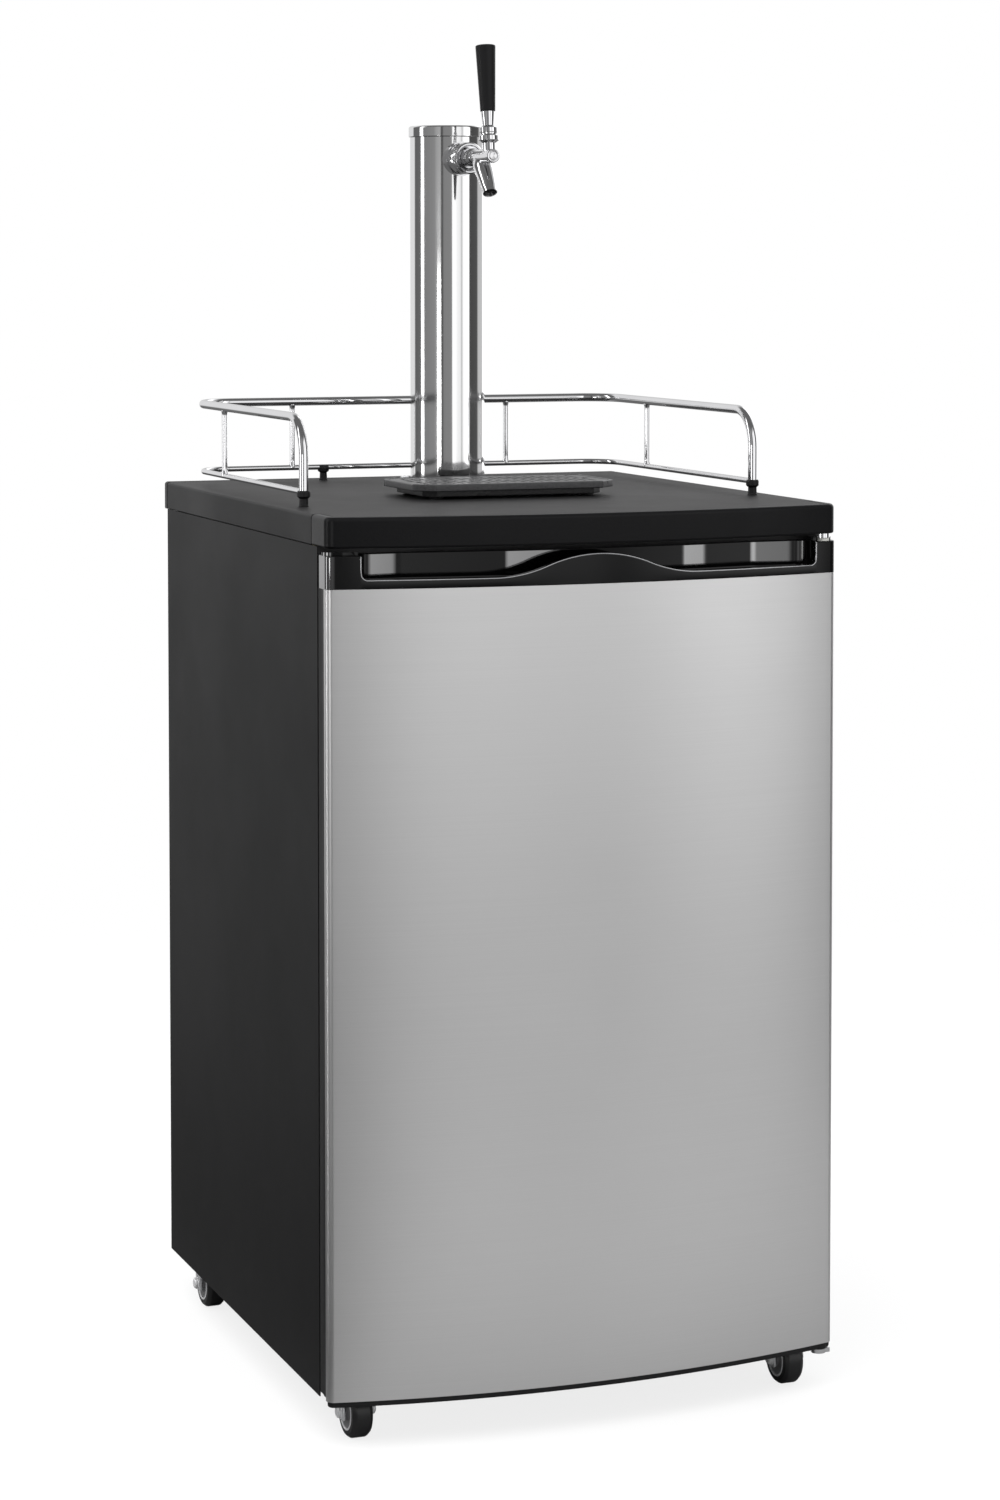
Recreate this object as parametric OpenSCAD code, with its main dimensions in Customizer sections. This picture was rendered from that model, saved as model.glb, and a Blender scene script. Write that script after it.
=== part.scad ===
// Cold brew kegerator: a bowed steel door on a black cabinet with a worktop,
// a guard rail, a one-tap tower and a drip tray, on four casters.
// Millimetres. +Z is up, the door faces -Y, the origin is on the floor
// under the middle of the object.

/* [Cabinet] */
// Width over the side panels and the worktop
cab_w = 510; // [500:1:530]
// Depth from the crown of the worktop to its rear edge
top_d = 586; // [580:1:610]
// Height of the lower edge of the side panels above the floor
skirt_z = 43; // [42:0.5:45]
// Height of the side panels
panel_h = 784; // [780:1:810]
// Thickness of the side panel sheet
panel_t = 1.2; // [0.8:0.1:2]
// Thickness of the other steel sheets
sheet_t = 1.2; // [0.8:0.1:1.6]
// Thickness of the insulation in the walls
wall_t = 36; // [30:1:40]
// Thickness of the insulation under the floor
floor_foam_t = 25; // [20:1:30]
// Thickness of the insulation over the ceiling
top_foam_t = 62.5; // [55:0.5:66]
// Thickness of the white liner
liner_t = 2.5; // [1.5:0.1:3.5]
// Height of the base pan above the side panel edge
base_rise = 17; // [16:0.5:20]
// Depth of the recess behind the rear panel
rear_recess = 38; // [34:1:42]
// Depth of the step over the compressor, inside
step_d = 162; // [155:1:166]
// Height of the step over the compressor, inside
step_h = 195; // [190:1:230]

/* [Worktop] */
// Thickness of the worktop
top_t = 28.3; // [24:0.1:34]
// How far the front of the worktop bows out
top_bow = 34; // [30:0.5:38]
// Radius of the front corners of the worktop
top_fil = 11; // [8:0.5:14]
// Set-back of the cabinet front from the worktop corners
front_set = 27.4; // [26:0.1:30]
// Thickness of the front trim strip
trim_t = 8; // [5:0.5:12]
// How far the front trim runs back along the sides
trim_run = 44.2; // [36:0.1:60]
// Depth of the rear trim strip
rear_trim_d = 13; // [10:0.5:16]
// Open seam between a trim strip and the board
seam = 0.5; // [0.2:0.1:1]

/* [Guard rail] */
// Half the width of the rail between rod centres
rail_x = 232; // [215:1:240]
// Distance of the front posts behind the worktop corners
rail_front_in = 140; // [120:1:160]
// Distance of the back rod in front of the worktop board's rear edge
rail_back_in = 25; // [18:1:40]
// Height of the upper rod above the worktop
rail_h = 83.2; // [60:0.1:110]
// Height of the lower rod above the worktop
rail_low = 13.7; // [11:0.1:18]
// Diameter of the upper rod and its legs
rod_d = 9; // [7:0.5:11]
// Diameter of the lower rod and the small posts
wire_d = 5.6; // [4:0.2:6.6]
// Bend radius of the upper rod over the front posts
rail_bend = 40; // [25:1:48]
// Bend radius of the back corners
rail_corner = 38; // [25:1:50]
// Distance of the side posts from the back rod
side_post_in = 110; // [80:1:150]
// Half the distance between the back posts
back_post_x = 120; // [100:1:160]
// Half the distance between the back feet
back_foot_x = 86; // [60:1:98]
// Sideways place of the middle of the back posts and feet
back_shift = -6; // [-20:1:20]
// Diameter of the rail feet
foot_d = 14; // [12:0.5:18]

/* [Tower and tap] */
// Distance of the tower axis behind the worktop corners
tower_in = 383; // [370:1:390]
// Outside diameter of the tower
tower_d = 76; // [70:0.5:84]
// Wall thickness of the tower tube
tower_wall = 2; // [1.5:0.1:3]
// Height of the tower over the worktop
tower_h = 368; // [330:1:420]
// Diameter of the foot flange
flange_d = 114; // [100:1:120]
// Thickness of the foot flange
flange_t = 7; // [5:0.5:9]
// Height of the tower cap
cap_h = 11; // [8:0.5:16]
// Diameter of the tower cap
tower_cap_d = 79; // [77:0.5:84]
// Distance of the shank axis under the top of the tower
shank_drop = 34; // [28:0.5:50]
// Diameter of the shank thread
shank_d = 22; // [18:0.5:22]
// Distance of the lever pivot in front of the tower wall
tap_reach = 84; // [80:0.5:92]
// Height of the lever pivot above the shank axis
pivot_rise = 5; // [4.8:0.1:5.2]
// Radius of the ball that houses the lever pivot
ball_r = 10.6; // [10.6:0.1:12]
// Diameter of the pivot pin
pivot_d = 5; // [4:0.1:5.4]
// Travel of the lever in degrees
lever_travel = 40; // [30:1:42]
// Backward lean of the closed lever above its pivot
lever_lean = 6; // [0:0.5:8]
// Height of the chrome ferrule under the handle
ferrule_h = 14.5; // [10:0.5:20]
// Height of the black handle
handle_h = 66; // [50:1:80]
// Diameter of the handle at its foot
handle_d0 = 15; // [12:0.5:18]
// Diameter of the handle near its top
handle_d1 = 20; // [16:0.5:24]
// Drop of the spout tip under the shank axis
spout_drop = 40; // [34:0.5:46]
// Outside diameter of the spout
spout_d = 15; // [13:0.5:16]

/* [Drip tray] */
// Width of the tray
tray_w = 210; // [180:1:230]
// Depth of the tray
tray_d = 122; // [100:1:126]
// Distance of the tray front behind the worktop corners
tray_in = 175; // [168:1:178]
// Chamfer of the tray corners
tray_chamfer = 18; // [12:1:26]
// Height of the tray rim
tray_rim_h = 7; // [6:0.5:10]
// Height of the rim over the worktop
tray_lift = 8.2; // [7:0.1:12]
// Width of the slots in the grid
slot_w = 4; // [3:0.5:5]
// Number of slots in each row of the grid
slot_n = 19; // [10:1:20]

/* [Door] */
// Set-back of the door crown behind the worktop crown
door_set = 5; // [3:0.5:8]
// How far the door bows out
door_bow = 30; // [27:0.5:32]
// Radius of the front edges of the door
door_fil = 7; // [5:0.5:8]
// Thickness of the steel skin
skin_t = 0.9; // [0.6:0.1:1.4]
// Distance of the rear edge of the skin in front of the cabinet
skin_gap = 18.8; // [18:0.1:20]
// Height of the steel lower edge over the floor
door_z0 = 44.5; // [44:0.5:47]
// Height of the plastic cap under the door
under_cap_h = 5.5; // [5:0.1:6]
// Gap between the door and the worktop
door_gap = 7; // [6:0.5:9]
// Height of the handle strip along the top of the door
strip_h = 30.2; // [26:0.2:36]
// Half the width of the grip recess
grip_half = 224; // [200:1:226]
// Depth of the grip recess behind the lip
grip_d = 26; // [22:0.5:28]
// Thickness of the lip
lip_t = 7; // [5:0.5:9]
// Height of the low lip above the steel
lip_h = 8.2; // [6:0.2:10]
// Half the width of the hump in the lip
hump_half = 102; // [80:1:120]
// Height of the hump above the low lip
hump_h = 20; // [14:0.2:20.6]
// Distance of the hinge axis from the side of the door
hinge_in = 12; // [11:0.5:12.5]
// Diameter of the hinge pins
hinge_d = 8; // [6:0.2:9]
// Width of the door gasket
gasket_w = 14; // [10:0.5:16]
// Thickness of the door frame plate
frame_t = 7.4; // [6:0.2:8]

/* [Casters] */
// Radius of the wheels
wheel_r = 25; // [23:0.2:25.5]
// Width of the wheels
wheel_w = 20; // [17:0.5:21]
// Diameter of the wheel axles
axle_d = 8; // [6:0.5:9]
// Offset of a front wheel from its swivel axis
trail = 13; // [10:0.5:13.5]
// Distance of the front swivel axes from the cabinet sides
front_caster_in = 36; // [35.5:0.5:42]
// Distance of the front swivel axes behind the cabinet front
front_caster_back = 17; // [16.5:0.1:24]
// Distance of the rear wheels from the cabinet sides
rear_caster_in = 23; // [23:0.5:40]
// Distance of the rear wheels in front of the cabinet rear edge
rear_caster_fwd = 72; // [60:1:90]

/* [Keg and gas] */
// Largest diameter of the keg over its rubber rings
keg_d = 216; // [200:1:218]
// Largest height of the keg over its rubber rings
keg_h = 612; // [560:1:614]
// Least space over the keg, for the lines
keg_head = 58; // [56:1:70]
// Distance of the keg posts from the outside of the keg
post_rim = 46; // [42:1:52]
// Gap between the cabinet front and the keg
keg_front_gap = 38; // [34:1:40]
// Least gap between the keg and the step behind it
keg_rear_gap = 16; // [12:1:16]
// Gap between the gas cylinder and the step behind it
gas_gap = 14.4; // [12:0.2:16]
// Diameter of the gas cylinder
gas_d = 133; // [120:1:136]
// Height of the gas cylinder to its neck
gas_h = 400; // [360:1:420]
// Distance of the gas cylinder axis right of the middle
gas_x = 125; // [122:1:130]
// Outside diameter of the drink and gas lines
line_d = 10; // [8:0.5:11]
// Bore of the drink and gas lines
line_bore = 6.4; // [5:0.2:7]

/* [Fits] */
// Radial clearance of pins and axles
run_fit = 0.06; // [0.03:0.01:0.1]
// Clearance between pieces that move past each other
move_gap = 0.3; // [0.25:0.05:0.4]

/* [Hidden] */
$fn = 64;
bow_fn = 400;

// Planes of the cabinet
half_w = cab_w / 2;
top_crown = -top_d / 2;
top_corner = top_crown + top_bow;
cab_front = top_corner + front_set;
cab_back = top_d / 2 - rear_trim_d;
panel_top = skirt_z + panel_h;
top_z = panel_top + top_t;
wall_x = half_w - panel_t;
base_z = skirt_z + base_rise;
base_top = base_z + sheet_t;
frame_back = cab_front + sheet_t;
back_y = cab_back - rear_recess;
foam_back = back_y - sheet_t;
in_half = wall_x - wall_t - liner_t;
in_back = foam_back - wall_t - liner_t;
floor_z = base_top + floor_foam_t + liner_t;
ceil_z = panel_top - top_foam_t - liner_t;
step_y = in_back - step_d;
step_z = floor_z + step_h;
bay_y = step_y + liner_t + wall_t;
bay_top = step_z - liner_t - wall_t;

// Tower and tap
tower_y = top_corner + tower_in;
tower_top = top_z + tower_h;
tower_r = tower_d / 2;
line_hole_r = line_d / 2 + 15;
shank_z = tower_top - shank_drop;
tap_y = tower_y - tower_r - tap_reach;
pivot_z = shank_z + pivot_rise;
tail_y = tap_y + 60;
arm = pivot_rise + 1.5;
barrel_r = 9.2;
nose_r = 7.9;
nose = 11;
bore_r = 6.5;
collar_r = 10;
collar_rise = 10.2;
ferrule_r = 5.5;
shaft_r = 3;
tip_r = 2.6;
cavity_r = arm + tip_r + move_gap;
cavity_half = shaft_r + 0.6;
ferrule_z = pivot_z + 25.5;
handle_z = ferrule_z + ferrule_h;
spout_bend = 160;
spout_tilt = 32;
spout_sweep = 18;
spout_y = tap_y - 2 + spout_bend * cos(spout_tilt);
spout_z = shank_z - spout_drop + (spout_d / 2 - spout_bend) * sin(spout_tilt);

// Drip tray
tray_y0 = top_corner + tray_in;
tray_y1 = tray_y0 + tray_d;
tray_z = top_z + tray_lift;
tray_top = tray_z + tray_rim_h;
tray_wall = 3;
grid_t = 3.2;

// Door
door_crown = top_crown + door_set;
door_rad = (half_w * half_w + door_bow * door_bow) / (2 * door_bow);
top_rad = (half_w * half_w + top_bow * top_bow) / (2 * top_bow);
door_rear = cab_front - skin_gap;
strip_z1 = panel_top - door_gap;
strip_z0 = strip_z1 - strip_h;
strip_rear = cab_front - 5.4;
grip_floor = 4;
grip_wall = 3;
cap_z0 = door_z0 - under_cap_h;
core_gap = 0.1;
frame_rear = door_rear + frame_t;
frame_z0 = door_z0 + 2.5;
frame_free_x = half_w - 0.5;
liner_rise = 19;
liner_rim_in = 20;
liner_rim_w = 18;
liner_rim_low = 25;
liner_plate_t = 5;
gasket_rear = cab_front - move_gap;
gasket_half = half_w - hinge_in - 1;
gasket_z0 = base_top + 4.5;
gasket_z1 = min(strip_z0 - 2, ceil_z + 20);
hinge_x = half_w - hinge_in;
hinge_y = door_rear - 2.6;
hinge_r = hinge_d / 2;
bush_r = hinge_r + 2.5;
boss_t = 1.6;
plate_r = hinge_r + 3;
hinge_t = 4;
upper_plate_z = panel_top - hinge_t;
lower_plate_z = cap_z0 - 0.5 - hinge_t;

// Casters
front_caster_x = half_w - front_caster_in;
front_caster_y = cab_front + front_caster_back;
rear_caster_x = half_w - rear_caster_in;
rear_caster_y = cab_back - rear_caster_fwd;
cheek_in = wheel_w / 2 + 2;
cheek_t = 2.5;
crown_z = 2 * wheel_r + 1;
crown_t = 2.5;
kingpin_r = 5;
axle_r = axle_d / 2;
plate_t = 3;
plate_half = 21;
plate_behind = 24;
race_r = 13;
rear_crown_half = 16;

// Keg and gas
keg_z = floor_z + 2;
keg_r = min(keg_d, step_y - cab_front - keg_front_gap - keg_rear_gap) / 2;
post_in = keg_r - post_rim;
keg_x = -post_in;
keg_y = cab_front + keg_front_gap + keg_r;
keg_top = keg_z + min(keg_h, ceil_z - keg_head - keg_z);
can_r = keg_r - 4;
can_top = keg_top - 52;
post_z = keg_top - 18;
liquid_z = keg_top + 12;
line_r = line_d / 2;
line_bend = 40;
gas_r = gas_d / 2;
gas_y = step_y - gas_gap - gas_r;
reg_reach = 45;
reg_y = gas_y - reg_reach;
gas_line_z = liquid_z + 26;
gas_bend = 18;
gas_cap_z = liquid_z - 8;
neck_z = floor_z + 2 + gas_h;
valve_z = neck_z + 34;
tube_in = line_bore / 2;
lid_r = 44;
lid_plug_r = 32;
shoulder_h = 60;
shoulder_in = 18;
slope_h = 24;
mouth_r = 18;
mouth_in = 15;
stem_z = valve_z + 23;
stem_top = stem_z + 15;
dial_len = 24;

// Box between two corners
module span(a, b) {
    translate(a) cube(b - a);
}

// Round bar along X, Y or Z
module bar_x(x0, x1, y, z, r) {
    translate([x0, y, z]) rotate([0, 90, 0]) cylinder(h = x1 - x0, r = r);
}
module bar_y(y0, y1, x, z, r) {
    translate([x, y1, z]) rotate([90, 0, 0]) cylinder(h = y1 - y0, r = r);
}
module bar_z(z0, z1, x, y, r) {
    translate([x, y, z0]) cylinder(h = z1 - z0, r = r);
}

// Quarter of a bent rod about the origin, from +X to +Y
module quarter(bend, r) {
    rotate_extrude(angle = 90) translate([bend, 0]) circle(r);
}

// Block with a bowed front of radius rad and rounded front edges
module bowed(z0, z1, half, crown, rear, rad, fil) {
    fx = half - fil;
    mid = crown + rad;
    fy = mid - sqrt((rad - fil) * (rad - fil) - fx * fx);
    tx = fx * rad / (rad - fil);
    intersection() {
        translate([0, mid, z0]) cylinder(h = z1 - z0, r = rad, $fn = bow_fn);
        union() {
            span([-tx, crown - 1, z0], [tx, rear, z1]);
            span([-half, fy, z0], [half, rear, z1]);
            for (s = [-1, 1]) intersection() {
                bar_z(z0, z1, s * fx, fy, fil);
                span([-half - 1, crown - 1, z0], [half + 1, rear, z1]);
            }
        }
    }
}

// Block behind the door front, set in by t all round the front
module door_block(z0, z1, t, rear) {
    bowed(z0, z1, half_w - t, door_crown + t, rear, door_rad - t, door_fil - t);
}

// Octagon prism of the drip tray, set in by t
module tray_block(z0, z1, t) {
    x = tray_w / 2 - t;
    y0 = tray_y0 + t;
    y1 = tray_y1 - t;
    c = tray_chamfer - t * 0.586;
    translate([0, 0, z0]) linear_extrude(z1 - z0) polygon([
        [-x, y0 + c], [-x + c, y0], [x - c, y0], [x, y0 + c],
        [x, y1 - c], [x - c, y1], [-x + c, y1], [-x, y1 - c]]);
}

// Space inside the liner grown by t, with the step left out
module inside(t) {
    difference() {
        span([-in_half - t, cab_front - 1, floor_z - t], [in_half + t, in_back + t, ceil_z + t]);
        span([-half_w, step_y + t, 0], [half_w, cab_back, step_z - t]);
    }
}

module line_hole() {
    bar_z(step_z + line_hole_r, tower_top, 0, tower_y, line_hole_r);
}

// Painted steel sides

module left_panel() {
    color("#2b2b2c") span([-half_w, cab_front, skirt_z], [-wall_x, cab_back, panel_top]);
}

module right_panel() {
    color("#2b2b2c") span([wall_x, cab_front, skirt_z], [half_w, cab_back, panel_top]);
}

// Bent sheet that closes the back and lines the compressor bay

module rear_panel() {
    color("#3a3b3c") union() {
        span([-wall_x, foam_back, bay_top - sheet_t], [wall_x, back_y, panel_top]);
        span([-wall_x, bay_y, bay_top - sheet_t], [wall_x, back_y, bay_top]);
        span([-wall_x, bay_y, base_top], [wall_x, bay_y + sheet_t, bay_top]);
    }
}

module base_pan() {
    color("#3a3b3c") span([-wall_x, cab_front, base_z], [wall_x, cab_back - 4, base_top]);
}

module insulation() {
    color("#e8dcae") difference() {
        span([-wall_x, frame_back, base_top], [wall_x, foam_back, panel_top]);
        inside(liner_t);
        span([-half_w, bay_y, 0], [half_w, cab_back, bay_top]);
        line_hole();
    }
}

module inner_liner() {
    color("#f2f2ef") difference() {
        intersection() {
            inside(liner_t);
            span([-half_w, frame_back, 0], [half_w, cab_back, panel_top]);
        }
        inside(0);
        line_hole();
    }
}

// Folded front face that the gasket closes on

module front_frame() {
    color("#1d1d1e") difference() {
        span([-wall_x, cab_front, base_top], [wall_x, frame_back, panel_top]);
        span([-in_half, cab_front - 1, floor_z], [in_half, frame_back + 1, ceil_z]);
    }
}

// Worktop board and its edge strips

module top_block(t, rear) {
    bowed(panel_top, top_z, half_w - t, top_crown + t, rear, top_rad - t, top_fil - min(t, top_fil - 1));
}

module worktop() {
    color("#5c5d5f") difference() {
        top_block(0, cab_back - seam);
        difference() {
            span([-half_w - 1, top_crown - 1, panel_top - 1],
                [half_w + 1, top_corner + trim_run, top_z + 1]);
            top_block(trim_t, cab_back);
        }
        line_hole();
    }
}

module worktop_trims() {
    color("#222223") union() {
        difference() {
            intersection() {
                top_block(0, cab_back);
                span([-half_w, top_crown - 1, panel_top],
                    [half_w, top_corner + trim_run - seam, top_z]);
            }
            top_block(trim_t, cab_back);
        }
        span([-half_w, cab_back - seam, panel_top], [half_w, cab_back + rear_trim_d, top_z]);
    }
}

// Welded guard rail of bent chrome rod

rail_y0 = top_corner + rail_front_in;
rail_y1 = cab_back - rail_back_in;
rail_z = top_z + rail_h;
rail_z0 = top_z + rail_low;
rod_r = rod_d / 2;
wire_r = wire_d / 2;
foot_r = foot_d / 2;
foot_seat = 3;

module rail_loop(z, r, y0) {
    cx = rail_x - rail_corner;
    cy = rail_y1 - rail_corner;
    for (s = [-1, 1]) bar_y(y0, cy, s * rail_x, z, r);
    bar_x(-cx, cx, rail_y1, z, r);
    translate([cx, cy, z]) quarter(rail_corner, r);
    translate([-cx, cy, z]) rotate([0, 0, 90]) quarter(rail_corner, r);
}

module guard_rail() {
    color("#c9cbce") union() {
        rail_loop(rail_z, rod_r, rail_y0 + rail_bend);
        rail_loop(rail_z0, wire_r, rail_y0);
        for (s = [-1, 1]) {
            bar_z(top_z + foot_seat, rail_z - rail_bend, s * rail_x, rail_y0, rod_r);
            translate([s * rail_x, rail_y0 + rail_bend, rail_z - rail_bend])
                rotate([90, 0, -90]) quarter(rail_bend, rod_r);
            bar_z(rail_z0, rail_z, s * rail_x, rail_y1 - side_post_in, wire_r);
            bar_z(rail_z0, rail_z, back_shift + s * back_post_x, rail_y1, wire_r);
        }
    }
}

module rail_feet() {
    color("#151516") for (s = [-1, 1]) {
        difference() {
            bar_z(top_z, rail_z0 - wire_r, s * rail_x, rail_y0, foot_r);
            bar_z(top_z + foot_seat, rail_z0, s * rail_x, rail_y0, rod_r);
        }
        difference() {
            bar_z(top_z, rail_z0, back_shift + s * back_foot_x, rail_y1, foot_r);
            bar_x(-rail_x, rail_x, rail_y1, rail_z0, wire_r);
        }
    }
}

// Polished tower

module tower_flange() {
    color("#d4d6d8") difference() {
        bar_z(top_z, top_z + flange_t, 0, tower_y, flange_d / 2);
        bar_z(top_z - 1, top_z + flange_t + 1, 0, tower_y, line_hole_r);
        for (a = [45 : 90 : 315])
            bar_z(top_z - 1, top_z + flange_t + 1, (flange_d / 2 - 8) * cos(a),
                tower_y + (flange_d / 2 - 8) * sin(a), 2.6);
    }
}

module tower_tube() {
    color("#d4d6d8") difference() {
        bar_z(top_z + flange_t, tower_top - cap_h, 0, tower_y, tower_r);
        bar_z(top_z, tower_top, 0, tower_y, tower_r - tower_wall);
        bar_y(tower_y - tower_r - 5, tower_y, 0, shank_z, shank_d / 2);
    }
}

module tower_cap() {
    color("#d4d6d8") union() {
        bar_z(tower_top - cap_h, tower_top, 0, tower_y, tower_cap_d / 2);
        bar_z(tower_top - cap_h - 6, tower_top - cap_h, 0, tower_y, tower_r - tower_wall);
    }
}

// Shank through the tower wall, with its saddle flange, nut and elbow

module shank() {
    wall_y = tower_y - tower_r;
    color("#c6c8cb") difference() {
        union() {
            bar_y(tail_y, tower_y - 20, 0, shank_z, shank_d / 2);
            difference() {
                bar_y(wall_y - 7, wall_y + 8, 0, shank_z, 17.5);
                bar_z(shank_z - 30, shank_z + 30, 0, tower_y, tower_r);
            }
            difference() {
                translate([0, tower_y - 21, shank_z]) rotate([90, 0, 0])
                    cylinder(h = 14, r = 16, $fn = 6);
                difference() {
                    bar_z(shank_z - 30, shank_z + 30, 0, tower_y, tower_r + 20);
                    bar_z(shank_z - 31, shank_z + 31, 0, tower_y, tower_r - tower_wall);
                }
            }
            bar_y(tower_y - 21, tower_y, 0, shank_z, 8);
            bar_z(shank_z - 14, shank_z + 8, 0, tower_y, 8);
            bar_z(shank_z - 30, shank_z - 14, 0, tower_y, tube_in);
        }
        bar_y(tail_y - 1, tower_y, 0, shank_z, 2.4);
        bar_z(shank_z - 31, shank_z, 0, tower_y, 2.4);
    }
}

module coupling_nut() {
    color("#c6c8cb") difference() {
        bar_y(tail_y - 5, tower_y - tower_r - 7, 0, shank_z, 16);
        bar_y(tail_y - 6, tower_y - tower_r, 0, shank_z, shank_d / 2);
        bar_y(tail_y - 4, tail_y, 0, shank_z, 14.5);
        for (a = [30 : 60 : 330]) translate([0, (tail_y + tower_y - tower_r - 12) / 2, shank_z])
            rotate([0, a, 0]) bar_z(13.2, 17, 0, 0, 2.2);
    }
}

// Faucet body with the pivot ball and the curved spout

module spout(r) {
    translate([0, spout_y, spout_z]) rotate([0, 90, 0])
        rotate([0, 0, -90]) mirror([0, 1, 0]) rotate([0, 0, spout_tilt])
            rotate_extrude(angle = spout_sweep) translate([spout_bend, 0]) circle(r);
}

function slot_turn(i) = i * lever_travel / 10 - lever_lean;

module leaned() {
    translate([0, tap_y, pivot_z]) rotate([-lever_lean, 0, 0]) translate([0, -tap_y, -pivot_z]) children();
}

module lever_slot(r0, r1, w) {
    for (a = [-lever_lean, lever_travel - lever_lean]) translate([0, tap_y, pivot_z]) rotate([a, 0, 0])
        bar_z(r0, r1, 0, 0, w / 2);
    translate([w / 2, tap_y, pivot_z]) rotate([0, -90, 0]) linear_extrude(w)
        polygon([
            for (i = [0 : 10]) [r1 * cos(slot_turn(i)), -r1 * sin(slot_turn(i))],
            for (i = [10 : -1 : 0]) [r0 * cos(slot_turn(i)), -r0 * sin(slot_turn(i))]]);
}

module faucet_body() {
    color("#c6c8cb") difference() {
        union() {
            bar_y(tap_y, tail_y - 3.9, 0, shank_z, barrel_r);
            bar_y(tap_y - nose, tap_y + 1, 0, shank_z, nose_r);
            bar_y(tail_y - 3.9, tail_y, 0, shank_z, 14.4);
            translate([0, tap_y, pivot_z]) sphere(ball_r);
            spout(spout_d / 2);
        }
        bar_y(tap_y - 8, tail_y + 1, 0, shank_z, bore_r);
        intersection() {
            translate([0, tap_y, pivot_z]) sphere(cavity_r);
            span([-cavity_half, tap_y - ball_r, shank_z - ball_r],
                [cavity_half, tap_y + ball_r, pivot_z + ball_r]);
        }
        spout(spout_d / 2 - 2.4);
        bar_x(-ball_r + 1.5, ball_r - 1.5, tap_y, pivot_z, pivot_d / 2 + run_fit);
        lever_slot(2, ball_r + 2, 2 * shaft_r + 0.8);
    }
}

// Lever with its pivot pin and collar

module tap_lever() {
    color("#c6c8cb") union() {
        bar_z(pivot_z - arm, pivot_z, 0, tap_y, tip_r - 0.8);
        leaned() bar_z(pivot_z, handle_z + 12, 0, tap_y, shaft_r - 0.4);
        translate([0, tap_y, pivot_z]) sphere(shaft_r);
        translate([0, tap_y, pivot_z - arm]) sphere(tip_r);
        bar_x(-ball_r + 2, ball_r - 2, tap_y, pivot_z, pivot_d / 2);
        leaned() difference() {
            bar_z(pivot_z + collar_rise, ferrule_z, 0, tap_y, collar_r);
            translate([0, tap_y, pivot_z]) sphere(ball_r + move_gap);
        }
    }
}

module tap_ferrule() {
    color("#c6c8cb") leaned() difference() {
        translate([0, tap_y, ferrule_z]) cylinder(h = ferrule_h, r1 = ferrule_r, r2 = handle_d0 / 2 - 0.5);
        bar_z(ferrule_z - 1, handle_z + 1, 0, tap_y, shaft_r - 0.4);
    }
}

module tap_handle() {
    color("#111112") leaned() difference() {
        translate([0, tap_y, handle_z]) rotate_extrude() polygon([
            [0, 0], [handle_d0 / 2, 0], [handle_d1 / 2, handle_h - 1],
            [handle_d1 / 2 - 1, handle_h], [0, handle_h]]);
        bar_z(handle_z - 1, handle_z + 12, 0, tap_y, shaft_r - 0.4);
    }
}

// Valve plunger that the lower end of the lever pushes back

module tap_plunger() {
    color("#b9a14a") difference() {
        union() {
            intersection() {
                bar_y(tap_y - 7, tap_y + 7, 0, shank_z, bore_r - move_gap);
                span([-10, tap_y - 10, shank_z - 10], [10, tap_y + 10, shank_z + 1.5]);
            }
            bar_y(tap_y + 5, tail_y - 12, 0, shank_z - 2.4, 2);
            bar_y(tail_y - 12, tail_y - 8, 0, shank_z, bore_r - 0.5);
        }
        span([-tip_r - 0.5, tap_y - tip_r - 1.5, shank_z - 4.4],
            [tip_r + 0.5, tap_y + tip_r + 1.5, shank_z + 5]);
    }
}

// Drip tray and its lift-out grid

module drip_tray() {
    color("#161617") union() {
        difference() {
            union() {
                tray_block(tray_z, tray_top, 0);
                tray_block(top_z + 2.2, tray_z, 12);
            }
            tray_block(tray_top - grid_t - 0.8, tray_top + 1, tray_wall);
            tray_block(top_z + 4.2, tray_top, 14.5);
        }
        for (sx = [-1, 1], y = [tray_y0 + 22, tray_y1 - 22])
            bar_z(top_z + move_gap, top_z + 3.2, sx * (tray_w / 2 - 26), y, 6);
    }
}

module drip_grid() {
    z1 = tray_top - 0.6;
    pitch = (tray_w - 36) / slot_n;
    run = (tray_d - 48) / 2;
    mid = (tray_y0 + tray_y1) / 2;
    color("#1c1c1d") difference() {
        tray_block(tray_top - grid_t - 0.5, z1, tray_wall + move_gap);
        for (i = [0 : slot_n - 1], s = [-1, 1])
            translate([(i - (slot_n - 1) / 2) * pitch, mid + s * (run / 2 + 4), 0])
                span([-slot_w / 2, -run / 2, tray_z], [slot_w / 2, run / 2, tray_top + 1]);
    }
}

// Door

module door_skin() {
    color("#bfc1c2") difference() {
        door_block(door_z0, strip_z0, 0, door_rear);
        door_block(door_z0 - 1, strip_z0 + 1, skin_t, door_rear + 1);
    }
}

module door_core() {
    color("#e8dcae") door_block(door_z0, strip_z0, skin_t, door_rear - core_gap);
}

module door_frame() {
    x = half_w - hinge_in + 5;
    color("#19191a") span([-frame_free_x, door_rear, frame_z0], [x, frame_rear, strip_z0]);
}

module door_liner() {
    x = gasket_half - gasket_w - 1;
    z0 = gasket_z0 + gasket_w + 1;
    z1 = gasket_z1 - gasket_w - 1;
    color("#f2f2ef") union() {
        y1 = frame_rear + liner_plate_t;
        y2 = y1 + liner_rise;
        a = liner_rim_in;
        b = liner_rim_in + liner_rim_w;
        span([-x, frame_rear, z0], [x, y1, z1]);
        difference() {
            span([-x + a, y1, z0 + liner_rim_low], [x - a, y2, z1 - a]);
            span([-x + b, y1, z0 + liner_rim_low + liner_rim_w], [x - b, y2 + 1, z1 - b]);
        }
    }
}

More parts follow.
